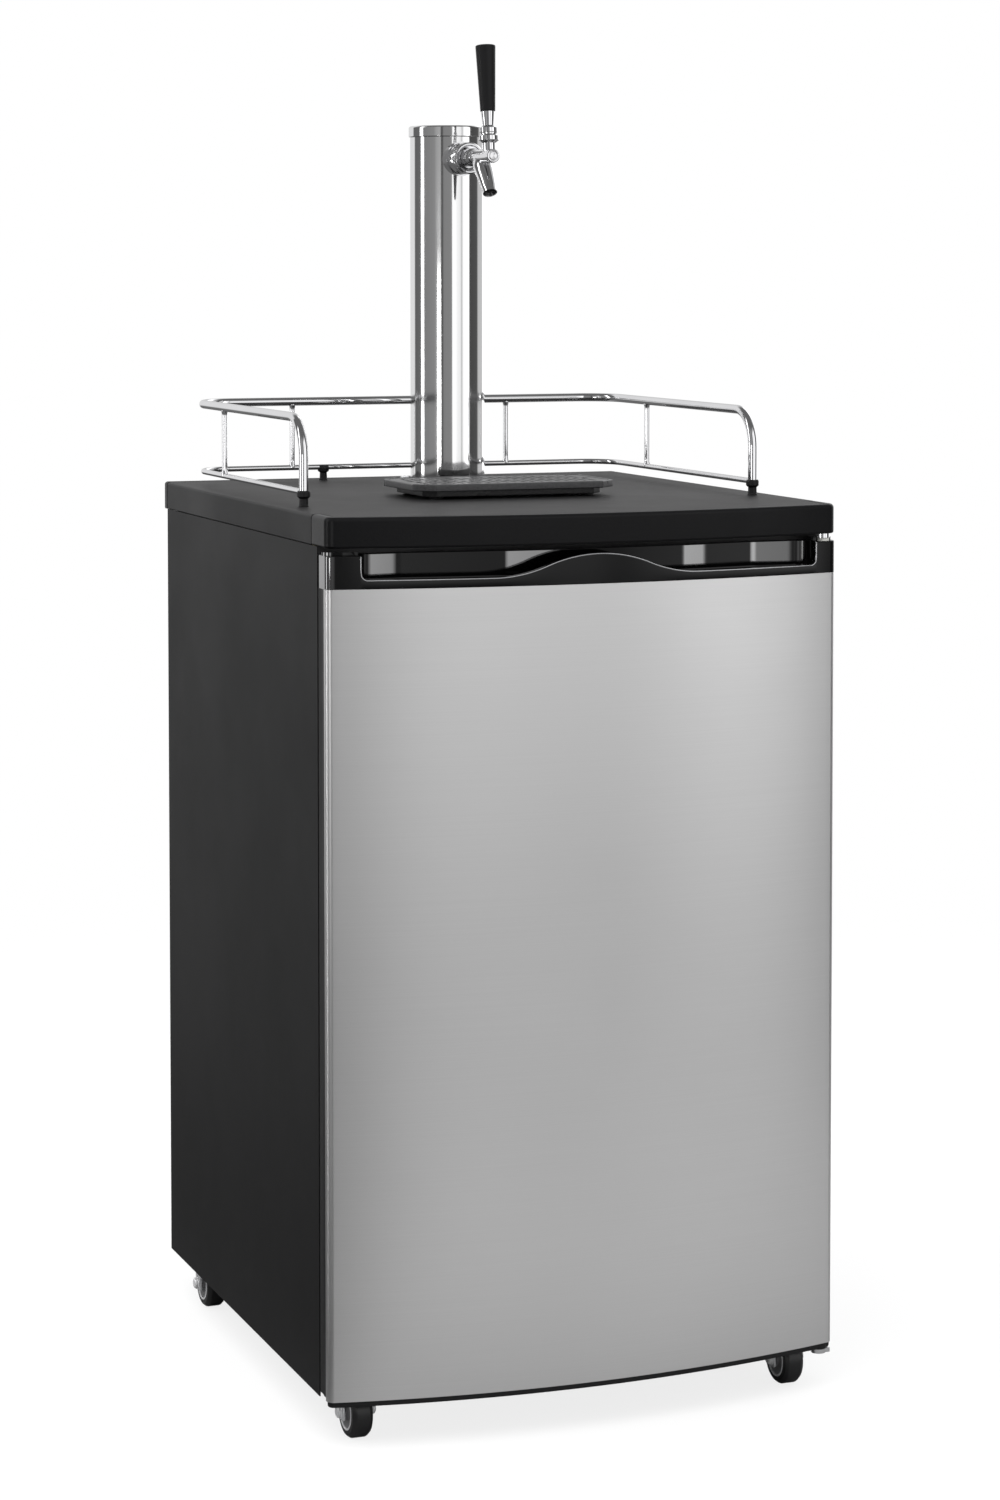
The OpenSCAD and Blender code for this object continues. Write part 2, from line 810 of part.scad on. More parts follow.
module door_gasket() {
    x = gasket_half;
    w = gasket_w;
    color("#121213") difference() {
        span([-x, frame_rear, gasket_z0], [x, gasket_rear, gasket_z1]);
        span([-x + w, frame_rear - 1, gasket_z0 + w], [x - w, gasket_rear + 1, gasket_z1 - w]);
    }
}

// Handle strip: a recess open at the top behind a lip with a hump

module lip_wave() {
    z = strip_z0 + lip_h;
    rad = (hump_half * hump_half + hump_h * hump_h) / (4 * hump_h);
    y0 = door_crown - 10;
    y1 = strip_rear;
    span([-half_w, y0, strip_z0], [half_w, y1, z]);
    difference() {
        span([-hump_half, y0, z], [hump_half, y1, z + hump_h / 2]);
        for (s = [-1, 1]) bar_y(y0 - 1, y1 + 1, s * hump_half, z + rad, rad);
    }
    intersection() {
        span([-hump_half / 2, y0, z], [hump_half / 2, y1, strip_z1]);
        bar_y(y0, y1, 0, z + hump_h - rad, rad);
    }
}

module handle_strip() {
    color("#0e0e0f") difference() {
        door_block(strip_z0, strip_z1, 0, strip_rear);
        difference() {
            intersection() {
                difference() {
                    bowed(strip_z0 + grip_floor, strip_z1 + 1, half_w + 2, door_crown - 2, strip_rear,
                        door_rad + 2, door_fil);
                    translate([0, door_crown + door_rad, strip_z0])
                        cylinder(h = strip_h + 2, r = door_rad - lip_t - grip_d, $fn = bow_fn);
                }
                span([-grip_half, door_crown - 5, strip_z0 + grip_floor],
                    [grip_half, strip_rear - grip_wall, strip_z1 + 1]);
            }
            difference() {
                lip_wave();
                translate([0, door_crown + door_rad, strip_z0 - 1])
                    cylinder(h = strip_h + 2, r = door_rad - lip_t, $fn = bow_fn);
            }
        }
        bar_z(strip_z0 + 14, strip_z1 + 1, hinge_x, hinge_y, bush_r);
    }
}

module under_cap() {
    color("#141415") difference() {
        union() {
            intersection() {
                door_block(cap_z0, door_z0, 1, hinge_y);
                span([-half_w, door_crown, cap_z0], [hinge_x + bush_r + 0.5, hinge_y, door_z0]);
            }
            bar_z(cap_z0, door_z0, hinge_x, hinge_y, bush_r + boss_t);
        }
        bar_z(cap_z0 - 1, door_z0 + 1, hinge_x, hinge_y, bush_r);
    }
}

module hinge_bushes() {
    color("#d9d9d4") difference() {
        union() {
            bar_z(strip_z0 + 14, upper_plate_z - move_gap, hinge_x, hinge_y, bush_r);
            bar_z(lower_plate_z + hinge_t + move_gap, door_z0, hinge_x, hinge_y, bush_r);
        }
        bar_z(strip_z0, strip_z1 + 10, hinge_x, hinge_y, hinge_r + run_fit);
        bar_z(cap_z0 - 5, door_z0 + 1, hinge_x, hinge_y, hinge_r + run_fit);
    }
}

// Chrome hinge brackets fixed to the cabinet

module upper_hinge() {
    color("#cfd1d3") union() {
        bar_z(upper_plate_z, panel_top, hinge_x, hinge_y, plate_r);
        span([hinge_x - plate_r, hinge_y, upper_plate_z], [hinge_x + plate_r, cab_front, panel_top]);
        bar_z(strip_z0 + 14.5, panel_top, hinge_x, hinge_y, hinge_r);
    }
}

module lower_hinge() {
    leg_x = half_w - 4.5;
    out_x = half_w - 1.5;
    leg_y = hinge_y + 10.5;
    color("#cfd1d3") union() {
        bar_z(lower_plate_z, lower_plate_z + hinge_t, hinge_x, hinge_y, plate_r);
        span([hinge_x, hinge_y - 4, lower_plate_z], [out_x, hinge_y + 5, lower_plate_z + hinge_t]);
        span([leg_x, hinge_y, lower_plate_z], [out_x, leg_y + 4.5, lower_plate_z + hinge_t]);
        span([leg_x, leg_y, lower_plate_z], [out_x, leg_y + 4.5, base_top + 14]);
        span([gasket_half + 2, leg_y + 3, base_z], [out_x, cab_front, base_top + 14]);
        bar_z(lower_plate_z, door_z0 - move_gap, hinge_x, hinge_y, hinge_r);
    }
}

// Casters

module caster_plates() {
    color("#9a9da0") for (s = [-1, 1]) {
        x = s * front_caster_x;
        y = front_caster_y;
        span([x - plate_half, cab_front + 0.5, base_z - plate_t], [x + plate_half, y + plate_behind, base_z]);
        bar_z(crown_z + crown_t + move_gap, base_z - plate_t, x, y, race_r);
        bar_z(crown_z - 0.6, base_z - plate_t, x, y, kingpin_r);
    }
}

// Fork cheeks, axle and dome nuts about a wheel at x, y
module fork_legs(x, y, back, top) {
    for (s = [-1, 1]) {
        inner = s > 0 ? cheek_in : -cheek_in - cheek_t;
        difference() {
            translate([x + inner, y, 0]) union() {
                rotate([90, 0, 90]) linear_extrude(cheek_t) polygon([
                    [-8, wheel_r], [8, wheel_r], [back + 8, top], [back - 12, top]]);
                bar_x(0, cheek_t, 0, wheel_r, 8);
            }
            bar_x(x - 30, x + 30, y, wheel_r, axle_r);
        }
        translate([x + s * (cheek_in + cheek_t), y, wheel_r]) rotate([0, s * 90, 0])
            cylinder(h = 4.5, r = axle_r + 3.5, $fn = 6);
    }
    bar_x(x - cheek_in - cheek_t, x + cheek_in + cheek_t, y, wheel_r, axle_r);
}

module front_fork(s) {
    x = s * front_caster_x;
    y = front_caster_y;
    color("#8d9093") difference() {
        union() {
            bar_z(crown_z, crown_z + crown_t, x, y, cheek_in + cheek_t + 1);
            fork_legs(x, y - trail, trail, crown_z);
        }
        bar_z(crown_z - 1, crown_z + crown_t + 1, x, y, kingpin_r + run_fit);
    }
}

module front_fork_left() { front_fork(-1); }
module front_fork_right() { front_fork(1); }

module rear_forks() {
    color("#8d9093") for (s = [-1, 1]) {
        x = s * rear_caster_x;
        w = cheek_in + cheek_t;
        half = rear_crown_half;
        span([x - w, rear_caster_y - half, crown_z], [x + w, rear_caster_y + half, base_z]);
        fork_legs(x, rear_caster_y, 2, crown_z);
    }
}

module wheel(x, y) {
    color("#1a1a1b") difference() {
        translate([x, y, wheel_r]) rotate([0, 90, 0]) rotate_extrude() polygon([
            [0, -wheel_w / 2 - 1.6], [axle_r + 4, -wheel_w / 2 - 1.6], [axle_r + 4, -wheel_w / 2],
            [wheel_r - 3, -wheel_w / 2], [wheel_r, -wheel_w / 2 + 4], [wheel_r, wheel_w / 2 - 4],
            [wheel_r - 3, wheel_w / 2], [axle_r + 4, wheel_w / 2], [axle_r + 4, wheel_w / 2 + 1.6],
            [0, wheel_w / 2 + 1.6]]);
        bar_x(x - 30, x + 30, y, wheel_r, axle_r + run_fit);
    }
}

module front_wheel_left() { wheel(-front_caster_x, front_caster_y - trail); }
module front_wheel_right() { wheel(front_caster_x, front_caster_y - trail); }
module rear_wheel_left() { wheel(-rear_caster_x, rear_caster_y); }
module rear_wheel_right() { wheel(rear_caster_x, rear_caster_y); }

// Cooling

comp_side = 195;
comp_x = half_w - comp_side;
comp_foot_x = 85;
comp_foot_y = 45;
comp_r = 62;
comp_y = (bay_y + cab_back) / 2 - 6;
comp_h = 130;

module compressor() {
    z = base_top + 12;
    color("#202123") difference() {
        union() {
            bar_z(z + 14, z + comp_h - 20, comp_x, comp_y, comp_r);
            translate([comp_x, comp_y, z + comp_h - 20]) cylinder(h = 18, r1 = comp_r, r2 = comp_r - 26);
            translate([comp_x, comp_y, z]) cylinder(h = 14, r1 = comp_r - 20, r2 = comp_r);
            span([comp_x - comp_foot_x, comp_y - comp_foot_y, z - 3],
                [comp_x + comp_foot_x, comp_y + comp_foot_y, z]);
            for (sx = [-1, 1], sy = [-1, 1])
                bar_z(base_top, z - 3, comp_x + sx * (comp_foot_x - 13),
                    comp_y + sy * (comp_foot_y - 11), 10);
        }
        bar_z(z + 14, z + comp_h - 20, comp_x, comp_y, comp_r - 4);
    }
}

coil_n = 8;
coil_side = 65;
coil_half = half_w - coil_side;
coil_r = 2.4;
coil_y = back_y + 12;
coil_foot = 60;
coil_head = 143.8;
coil_z = bay_top + coil_foot;
strip_pitch = (coil_half - 14) / 2;
coil_pitch = (panel_top - coil_head - coil_z) / (coil_n - 1);

module condenser() {
    color("#17181a") union() {
        for (i = [0 : coil_n - 1])
            bar_x(-coil_half, coil_half, coil_y, coil_z + i * coil_pitch, coil_r);
        for (i = [0 : coil_n - 2], s = [i % 2 == 0 ? 1 : -1])
            translate([s * coil_half, coil_y, coil_z + (i + 0.5) * coil_pitch])
                rotate([90, 0, 0]) rotate([0, 0, s > 0 ? -90 : 90])
                    rotate_extrude(angle = 180) translate([coil_pitch / 2, 0]) circle(coil_r);
        for (i = [-2 : 2]) span([i * strip_pitch - 6, coil_y - 0.8, coil_z - 10],
            [i * strip_pitch + 6, coil_y + 0.8, coil_z + (coil_n - 1) * coil_pitch + 10]);
        for (sx = [-2, 2], z = [coil_z + 40, coil_z + (coil_n - 2) * coil_pitch + 14])
            bar_y(back_y, coil_y, sx * strip_pitch, z, 4);
    }
}

plate_left = 45.3;
plate_right = 125.3;
plate_foot = 90;
plate_head = 60;
plate_x0 = -in_half + plate_left;
plate_x1 = in_half - plate_right;
plate_z0 = step_z + plate_foot;
plate_z1 = ceil_z - plate_head;
plate_n = 5;
plate_edge = 20;
plate_pitch = (plate_z1 - plate_z0 - 2 * plate_edge) / plate_n;

module evaporator_plate() {
    color("#d5d8da") difference() {
        span([plate_x0, in_back - 3, plate_z0], [plate_x1, in_back, plate_z1]);
        for (i = [0 : plate_n - 1])
            translate([0, in_back - 3.5, plate_z0 + plate_edge + (i + 0.5) * plate_pitch])
                span([plate_x0 + plate_edge, 0, -5], [plate_x1 - plate_edge, 1.5, 5]);
    }
}

// Thermostat on the back wall

stat_side = 65.3;
stat_x = in_half - stat_side;
stat_z = ceil_z - 90;

module thermostat_box() {
    color("#e9e9e6") difference() {
        span([stat_x - 32, in_back - 28, stat_z - 40], [stat_x + 32, in_back, stat_z + 40]);
        bar_y(in_back - 29, in_back - 10, stat_x, stat_z, 3 + run_fit);
    }
}

module thermostat_knob() {
    color("#3c3d3f") union() {
        bar_y(in_back - 44, in_back - 28 - move_gap, stat_x, stat_z, 15);
        bar_y(in_back - 30, in_back - 11, stat_x, stat_z, 3);
        span([stat_x - 2.5, in_back - 48, stat_z - 14], [stat_x + 2.5, in_back - 43, stat_z + 14]);
    }
}

gland_side = 75;
gland_x = gland_side - half_w;
gland_z = bay_top + 30;

module cord_gland() {
    color("#141415") difference() {
        union() {
            bar_y(back_y, back_y + 10, gland_x, gland_z, 9);
            bar_y(back_y, back_y + 3, gland_x, gland_z, 13);
        }
        bar_y(back_y + 1, back_y + 11, gland_x, gland_z, 4);
    }
}

// Keg with its rings, lid, posts and disconnects

module keg_floor() {
    color("#b8babc") span([-in_half + 4, cab_front + 20, floor_z], [in_half - 4, step_y - 3, floor_z + 2]);
}

module keg_body() {
    t = 1.6;
    z0 = keg_z + 10;
    color("#c4c6c8") difference() {
        translate([keg_x, keg_y, 0]) rotate_extrude() polygon([
            [0, z0], [can_r - 34, z0], [can_r, z0 + 26], [can_r, can_top - 30],
            [can_r - 30, can_top], [0, can_top]]);
        translate([keg_x, keg_y, 0]) rotate_extrude() polygon([
            [0, z0 + t], [can_r - 34.6, z0 + t], [can_r - t, z0 + 26.8], [can_r - t, can_top - 30.6],
            [can_r - 30.6, can_top - t], [0, can_top - t]]);
        bar_z(can_top - 5, can_top + 1, keg_x, keg_y, lid_plug_r);
    }
}

module keg_rubber() {
    color("#18181a") translate([keg_x, keg_y, 0]) union() {
        rotate_extrude() polygon([
            [can_r - 40, keg_z], [keg_r - 3, keg_z], [keg_r, keg_z + 3], [keg_r, keg_z + 55],
            [can_r, keg_z + 55], [can_r, keg_z + 36], [can_r - 34, keg_z + 10], [can_r - 40, keg_z + 10]]);
        difference() {
            rotate_extrude() polygon([
                [can_r, can_top - 44], [keg_r, can_top - 44], [keg_r, keg_top - 3], [keg_r - 3, keg_top],
                [keg_r - 13, keg_top], [keg_r - 13, can_top - 21], [can_r, can_top - 30]]);
            for (s = [-1, 1]) span([-45, s * keg_r - 20, keg_top - 34], [45, s * keg_r + 20, keg_top - 14]);
        }
    }
}

module post(x) {
    bar_z(can_top, can_top + 6, x, keg_y, 13);
    bar_z(can_top + 6, post_z - 6, x, keg_y, 9);
}

module keg_fittings() {
    color("#2a2b2d") union() {
        bar_z(can_top, can_top + 5, keg_x, keg_y, lid_r);
        bar_z(can_top - 5, can_top, keg_x, keg_y, lid_plug_r);
        bar_z(can_top + 5, can_top + 13, keg_x, keg_y, 10);
        for (s = [-1, 1]) post(keg_x + s * post_in);
        difference() {
            bar_z(can_top + 8, liquid_z + 6, 0, keg_y, 14);
            bar_z(can_top + 7, post_z - 6, 0, keg_y, 9);
        }
        bar_y(keg_y + 10, keg_y + 36, 0, liquid_z, tube_in);
        difference() {
            bar_z(can_top + 8, gas_cap_z, keg_x - post_in, keg_y, 14);
            bar_z(can_top + 7, post_z - 6, keg_x - post_in, keg_y, 9);
        }
        bar_z(gas_cap_z, gas_cap_z + 12, keg_x - post_in, keg_y, tube_in);
    }
}

// Drink line from the keg up through the tower to the shank

module drink_line() {
    y0 = keg_y + 16;
    y1 = tower_y - line_bend;
    z1 = shank_z - 14;
    color("#d9d6cc") difference() {
        union() {
            bar_y(y0, y1, 0, liquid_z, line_r);
            translate([0, y1, liquid_z + line_bend]) rotate([90, 0, 90])
                rotate([0, 0, -90]) quarter(line_bend, line_r);
            bar_z(liquid_z + line_bend, z1, 0, tower_y, line_r);
        }
        bar_y(y0 - 1, y1, 0, liquid_z, tube_in);
        translate([0, y1, liquid_z + line_bend]) rotate([90, 0, 90])
            rotate([0, 0, -90]) quarter(line_bend, tube_in);
        bar_z(liquid_z + line_bend, z1 + 1, 0, tower_y, tube_in);
    }
}

// Gas line from the regulator over to the keg

module hose_z(z0, z1, x, y) {
    difference() {
        bar_z(z0, z1, x, y, line_r);
        bar_z(z0 - 1, z1 + 1, x, y, tube_in);
    }
}

module hose_quarter(bend) {
    rotate_extrude(angle = 90) translate([bend, 0]) difference() {
        circle(line_r);
        circle(tube_in);
    }
}

module gas_line() {
    x0 = keg_x - post_in;
    dx = gas_x - x0;
    dy = reg_y - keg_y;
    run = sqrt(dx * dx + dy * dy);
    color("#a33a34") translate([x0, keg_y, 0]) rotate([0, 0, atan2(dy, dx)]) union() {
        hose_z(gas_cap_z + 1, gas_line_z - gas_bend, 0, 0);
        translate([gas_bend, 0, gas_line_z - gas_bend]) rotate([90, 0, 0])
            rotate([0, 0, 90]) hose_quarter(gas_bend);
        difference() {
            bar_x(gas_bend, run - gas_bend, 0, gas_line_z, line_r);
            bar_x(0, run, 0, gas_line_z, tube_in);
        }
        translate([run - gas_bend, 0, gas_line_z - gas_bend]) rotate([90, 0, 0])
            hose_quarter(gas_bend);
        hose_z(valve_z + 24, gas_line_z - gas_bend, run, 0);
    }
}

// Gas cylinder, its valve and regulator

module gas_cylinder() {
    z0 = floor_z + 2;
    t = 5;
    color("#b4b7ba") translate([gas_x, gas_y, 0]) rotate_extrude() polygon([
        [0, z0], [gas_r - 12, z0], [gas_r, z0 + 12], [gas_r, neck_z - shoulder_h],
        [gas_r - shoulder_in, neck_z - slope_h], [mouth_r, neck_z], [mouth_in, neck_z],
        [mouth_in, neck_z - 6], [gas_r - shoulder_in - 4, neck_z - slope_h - 6],
        [gas_r - t, neck_z - shoulder_h - 2], [gas_r - t, z0 + 14], [gas_r - 14, z0 + t], [0, z0 + t]]);
}

module cylinder_valve() {
    color("#b6974c") difference() {
        union() {
            bar_z(neck_z - 6, neck_z, gas_x, gas_y, mouth_in);
            bar_z(neck_z, valve_z + 16, gas_x, gas_y, 12);
            bar_y(reg_y + reg_half, gas_y, gas_x, valve_z, 9);
        }
        bar_z(valve_z + 4, valve_z + 17, gas_x, gas_y, 4 + run_fit);
    }
}

module cylinder_knob() {
    color("#2f5f3a") difference() {
        union() {
            bar_z(valve_z + 16 + move_gap, valve_z + 30, gas_x, gas_y, 21);
            bar_z(valve_z + 5, valve_z + 17, gas_x, gas_y, 4);
        }
        for (a = [0 : 45 : 315]) bar_z(valve_z + 15, valve_z + 31,
            gas_x + 24 * cos(a), gas_y + 24 * sin(a), 5.5);
    }
}

reg_r = 21;
reg_half = 18;
gauge_r = 20;
gauge_x = 46;

module regulator() {
    color("#8e9296") difference() {
        union() {
            bar_y(reg_y - reg_half, reg_y + reg_half, gas_x, valve_z, reg_r);
            bar_z(valve_z + 8, stem_z, gas_x, reg_y, 8);
            bar_z(stem_z, stem_top, gas_x, reg_y, tube_in);
            for (s = [-1, 1]) {
                bar_x(gas_x + min(0, s * gauge_x), gas_x + max(0, s * gauge_x), reg_y, valve_z - 4, 5);
                bar_y(reg_y - 16, reg_y + 8, gas_x + s * gauge_x, valve_z - 4, gauge_r);
            }
        }
        bar_y(reg_y - reg_half - 1, reg_y - 6, gas_x, valve_z, 5 + run_fit);
    }
}

module regulator_knob() {
    color("#1b1b1c") union() {
        bar_y(reg_y - reg_half - dial_len, reg_y - reg_half - move_gap, gas_x, valve_z, 15);
        bar_y(reg_y - reg_half - 1, reg_y - 7, gas_x, valve_z, 5);
    }
}

left_panel();
right_panel();
rear_panel();
base_pan();
insulation();
inner_liner();
front_frame();
worktop();
worktop_trims();
guard_rail();
rail_feet();
tower_flange();
tower_tube();
tower_cap();
shank();
coupling_nut();
faucet_body();
tap_lever();
tap_ferrule();
tap_handle();
tap_plunger();
drip_tray();
drip_grid();
door_skin();
door_core();
door_frame();
door_liner();
door_gasket();
handle_strip();
under_cap();
hinge_bushes();
upper_hinge();
lower_hinge();
caster_plates();
front_fork_left();
front_fork_right();
rear_forks();
front_wheel_left();
front_wheel_right();
rear_wheel_left();
rear_wheel_right();
compressor();
condenser();
evaporator_plate();
thermostat_box();
thermostat_knob();
cord_gland();
keg_floor();
keg_body();
keg_rubber();
keg_fittings();
drink_line();
gas_line();
gas_cylinder();
cylinder_valve();
cylinder_knob();
regulator();
regulator_knob();
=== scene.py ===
import math

import bpy
import numpy as np
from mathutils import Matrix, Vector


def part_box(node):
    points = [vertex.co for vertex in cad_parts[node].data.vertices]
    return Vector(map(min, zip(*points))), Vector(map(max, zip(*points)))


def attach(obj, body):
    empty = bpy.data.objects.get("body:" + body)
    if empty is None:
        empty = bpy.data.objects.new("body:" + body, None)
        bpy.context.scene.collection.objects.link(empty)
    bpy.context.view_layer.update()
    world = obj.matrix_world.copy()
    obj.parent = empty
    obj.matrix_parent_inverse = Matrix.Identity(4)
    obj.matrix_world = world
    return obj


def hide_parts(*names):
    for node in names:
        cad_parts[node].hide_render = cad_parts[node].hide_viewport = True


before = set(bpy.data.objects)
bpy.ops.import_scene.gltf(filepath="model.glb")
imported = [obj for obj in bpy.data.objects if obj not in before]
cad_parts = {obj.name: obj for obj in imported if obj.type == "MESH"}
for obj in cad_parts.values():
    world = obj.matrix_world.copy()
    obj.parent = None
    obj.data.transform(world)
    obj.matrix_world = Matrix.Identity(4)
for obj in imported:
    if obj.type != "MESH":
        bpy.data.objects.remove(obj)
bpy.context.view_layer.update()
scene = bpy.context.scene


# Camera: stands in front and to the left of the kegerator, a little under the
# tap, looking slightly down. Its lens and place were fitted to the cabinet edges.
VIEW_YAW, VIEW_PITCH = 20.803, 3.104
CAMERA_AT = (-1.21018, -3.21319, 1.08553)
FOCAL_PX, AXIS_PX, PICTURE_PX = 3454.45, 448.76, 1500
SENSOR_MM = 36
lens = bpy.data.cameras.new("studio_camera")
lens.sensor_width = SENSOR_MM
lens.lens = FOCAL_PX * SENSOR_MM / PICTURE_PX
lens.shift_y = (AXIS_PX - PICTURE_PX / 2) / PICTURE_PX
lens.clip_end = 60
camera = bpy.data.objects.new("studio_camera", lens)
camera.location = CAMERA_AT
camera.rotation_euler = (math.radians(90 - VIEW_PITCH), 0, math.radians(-VIEW_YAW))
scene.collection.objects.link(camera)
scene.camera = camera


# Studio: a pale floor that fades into a white room. The room is lit by tall
# soft boxes with dark gaps between them, which stripe the polished metal.
ROOM_TURN = 90 + VIEW_YAW
ROOM_BEHIND, ROOM_COOL = 0.62, 1.005
ROOM_BANDS = [(-158, 0.80), (-124, 0.84), (-119, 0.13), (-89, 0.15), (-87, 5), (-80, 5), (-77, 0.22),
              (-40, 0.27), (-34, 0.36), (-20, 0.44), (-18, 0.08), (-13, 0.10), (-11, 0.24), (14, 0.26),
              (18, 1.50), (30, 1.10), (43, 0.97), (45, 0.60), (47, 0.60), (49, 1.00), (58, 1.48),
              (70, 1.72), (74, 0.07), (106, 0.09), (112, 0.58), (138, 0.62), (143, 1.7), (166, 1.7),
              (172, 0.62)]
CEILING, CEILING_MIRRORED, UNDERSIDE = (1.5, 1.5, 1.51, 1), (0.14, 0.14, 0.14, 1), (0.16, 0.16, 0.16, 1)
FLOOR_HALF, FLOOR_SPREAD, FLOOR_SHADOW = 6, 0.42, 0.18
PAPER_SEEN = (0.93, 0.93, 0.93, 1)
LAMPS = [("overhead_box", (-0.6, -1.1, 3.1), (2.2, 2.2), 60, False),
         ("left_box", (-1.7, 0.2, 2.5), (1.2, 1.2), 18, False),
         ("low_box", (-2.22, -2.02, 0.79), (0.6, 0.52), 4.9, True)]
LAMP_AIM = (0, 0, 0.6)


def node(tree, kind, inputs=(), **settings):
    """Adds a shader node with its settings. An input that is given a socket is linked, and else set."""
    made = tree.nodes.new("ShaderNode" + kind)
    for name, value in settings.items():
        setattr(made, name, value)
    for place, value in dict(inputs).items():
        if isinstance(value, bpy.types.NodeSocket):
            tree.links.new(value, made.inputs[place])
        else:
            made.inputs[place].default_value = value
    return made


def mixed(tree, factor, first, second):
    """Colour that runs from the first to the second by a factor; each is a socket or a colour."""
    return node(tree, "Mix", {"Factor": factor, "A": first, "B": second}, data_type="RGBA").outputs["Result"]


def ranged(tree, value, limits, interpolation="LINEAR"):
    """Value carried from one range to another, where the limits name the ends that aren't 0 or 1."""
    made = node(tree, "MapRange", {"Value": value, **limits}, interpolation_type=interpolation)
    return made.outputs["Result"]


def own_place(tree):
    """Place on the object in its own coordinates."""
    return node(tree, "TexCoord").outputs["Object"]


def along(tree, vector, axis):
    """One coordinate of a vector."""
    return node(tree, "SeparateXYZ", {0: vector}).outputs[axis]


scene.view_settings.view_transform = "Standard"
scene.view_settings.look = "None"
room = bpy.data.worlds.new("studio_room")
room.use_nodes = True
scene.world = room
sky = room.node_tree
sky.nodes.clear()
way = node(sky, "TexCoord").outputs["Generated"]
compass = node(sky, "VectorRotate", {"Vector": way, "Angle": math.radians(ROOM_TURN)}, rotation_type="Z_AXIS")
bearing = node(sky, "TexGradient", {"Vector": compass.outputs["Vector"]}, gradient_type="RADIAL")
boxes = node(sky, "ValToRGB", {0: bearing.outputs[1]})
stops = boxes.color_ramp.elements
stops[0].color = stops[1].color = (ROOM_BEHIND, ROOM_BEHIND, ROOM_BEHIND, 1)
for angle, glow in ROOM_BANDS:
    stops.new(0.5 + angle / 360).color = (glow, glow, glow * ROOM_COOL, 1)
height = along(sky, way, "Z")
rays = node(sky, "LightPath").outputs
above = ranged(sky, height, {"From Min": 0.52, "From Max": 0.80}, "SMOOTHSTEP")
below = ranged(sky, height, {"From Min": -0.07, "From Max": -0.22}, "SMOOTHSTEP")
ceiling = mixed(sky, rays["Is Glossy Ray"], CEILING, CEILING_MIRRORED)
lit = mixed(sky, below, mixed(sky, above, boxes.outputs["Color"], ceiling), UNDERSIDE)
backdrop = node(sky, "Background", {"Color": mixed(sky, rays["Is Camera Ray"], lit, (1, 1, 1, 1))})
node(sky, "OutputWorld", {"Surface": backdrop.outputs[0]})

floor_mesh = bpy.data.meshes.new("studio_floor")
floor_corners = [(sx * FLOOR_HALF, sy * FLOOR_HALF, 0) for sx, sy in ((-1, -1), (1, -1), (1, 1), (-1, 1))]
floor_mesh.from_pydata(floor_corners, [], [(0, 1, 2, 3)])
floor = bpy.data.objects.new("studio_floor", floor_mesh)
scene.collection.objects.link(floor)
paper = bpy.data.materials.new("studio_paper")
paper.use_nodes = True
ground = paper.node_tree
paper_shader = ground.nodes["Principled BSDF"]
paper_shader.inputs["Roughness"].default_value = 0.9
by_camera = node(ground, "LightPath").outputs["Is Camera Ray"]
# Painted shade: to every ray but the camera's the floor is dark, darkest left of the cabinet, so the side
# panel and door reflect shade below them; the camera sees it pale.
painted_floor_shade = ranged(ground, along(ground, own_place(ground), "X"),
    {"From Min": -0.40, "From Max": -0.22, "To Min": 0.03, "To Max": 0.24})
ground.links.new(mixed(ground, by_camera, painted_floor_shade, PAPER_SEEN), paper_shader.inputs["Base Color"])
around = node(ground, "Mapping", {"Vector": own_place(ground), "Scale": [FLOOR_SPREAD] * 3})
spread = node(ground, "TexGradient", {"Vector": around.outputs["Vector"]}, gradient_type="SPHERICAL")
fade = ranged(ground, spread.outputs[0], {"From Max": 0.75}, "SMOOTHSTEP")
shadow = ranged(ground, by_camera, {"To Min": 1, "To Max": FLOOR_SHADOW})
cover = node(ground, "Math", {0: fade, 1: shadow}, operation="MULTIPLY")
ground.links.new(cover.outputs[0], paper_shader.inputs["Alpha"])
floor_mesh.materials.append(paper)

for label, spot, size, power, mirrored in LAMPS:
    lamp = bpy.data.lights.new(label, "AREA")
    lamp.shape = "RECTANGLE"
    lamp.size, lamp.size_y = size
    lamp.energy = power
    bulb = bpy.data.objects.new(label, lamp)
    bulb.location = spot
    bulb.visible_glossy = mirrored
    bulb.visible_diffuse = not mirrored
    aim = np.subtract(LAMP_AIM, spot)
    bulb.rotation_euler = (math.atan2(np.hypot(aim[0], aim[1]), -aim[2]), 0,
        math.atan2(aim[0], -aim[1]) + math.pi)
    scene.collection.objects.link(bulb)


# Caster wheels: four moulded rubber tyres on grey hubs with a bright trim ring.
# Each turns on a steel axle through its fork; the tyre shoulders are rounded.
def box(label):
    """Lowest and highest corner of a CAD node in millimetres, to a tenth."""
    return np.round(np.multiply(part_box(label), 1000), 1)


ENDS, SIDES = ("front", "rear"), ("left", "right")
WHEEL_AT = {(end, side): box(f"{end}_wheel_{side}").mean(0) for end in ENDS for side in SIDES}
WHEEL_R = WHEEL_AT["front", "left"][2]
WHEEL_HALF, HUB_HALF, WEB_HALF = 10, 11.5, 9
AXLE_R, BEAD_R = 4, 17.2
DUST = (0.32, 0.31, 0.30, 1)


def shade_group(name, inputs, outputs):
    """Empty node group with those float inputs and outputs, and the sockets at its two ends."""
    group = bpy.data.node_groups.new(name, "ShaderNodeTree")
    for label, value in inputs.items():
        group.interface.new_socket(label, in_out="INPUT", socket_type="NodeSocketFloat").default_value = value
    for label in outputs:
        group.interface.new_socket(label, in_out="OUTPUT", socket_type="NodeSocketFloat")
    return group, group.nodes.new("NodeGroupInput").outputs, group.nodes.new("NodeGroupOutput").inputs


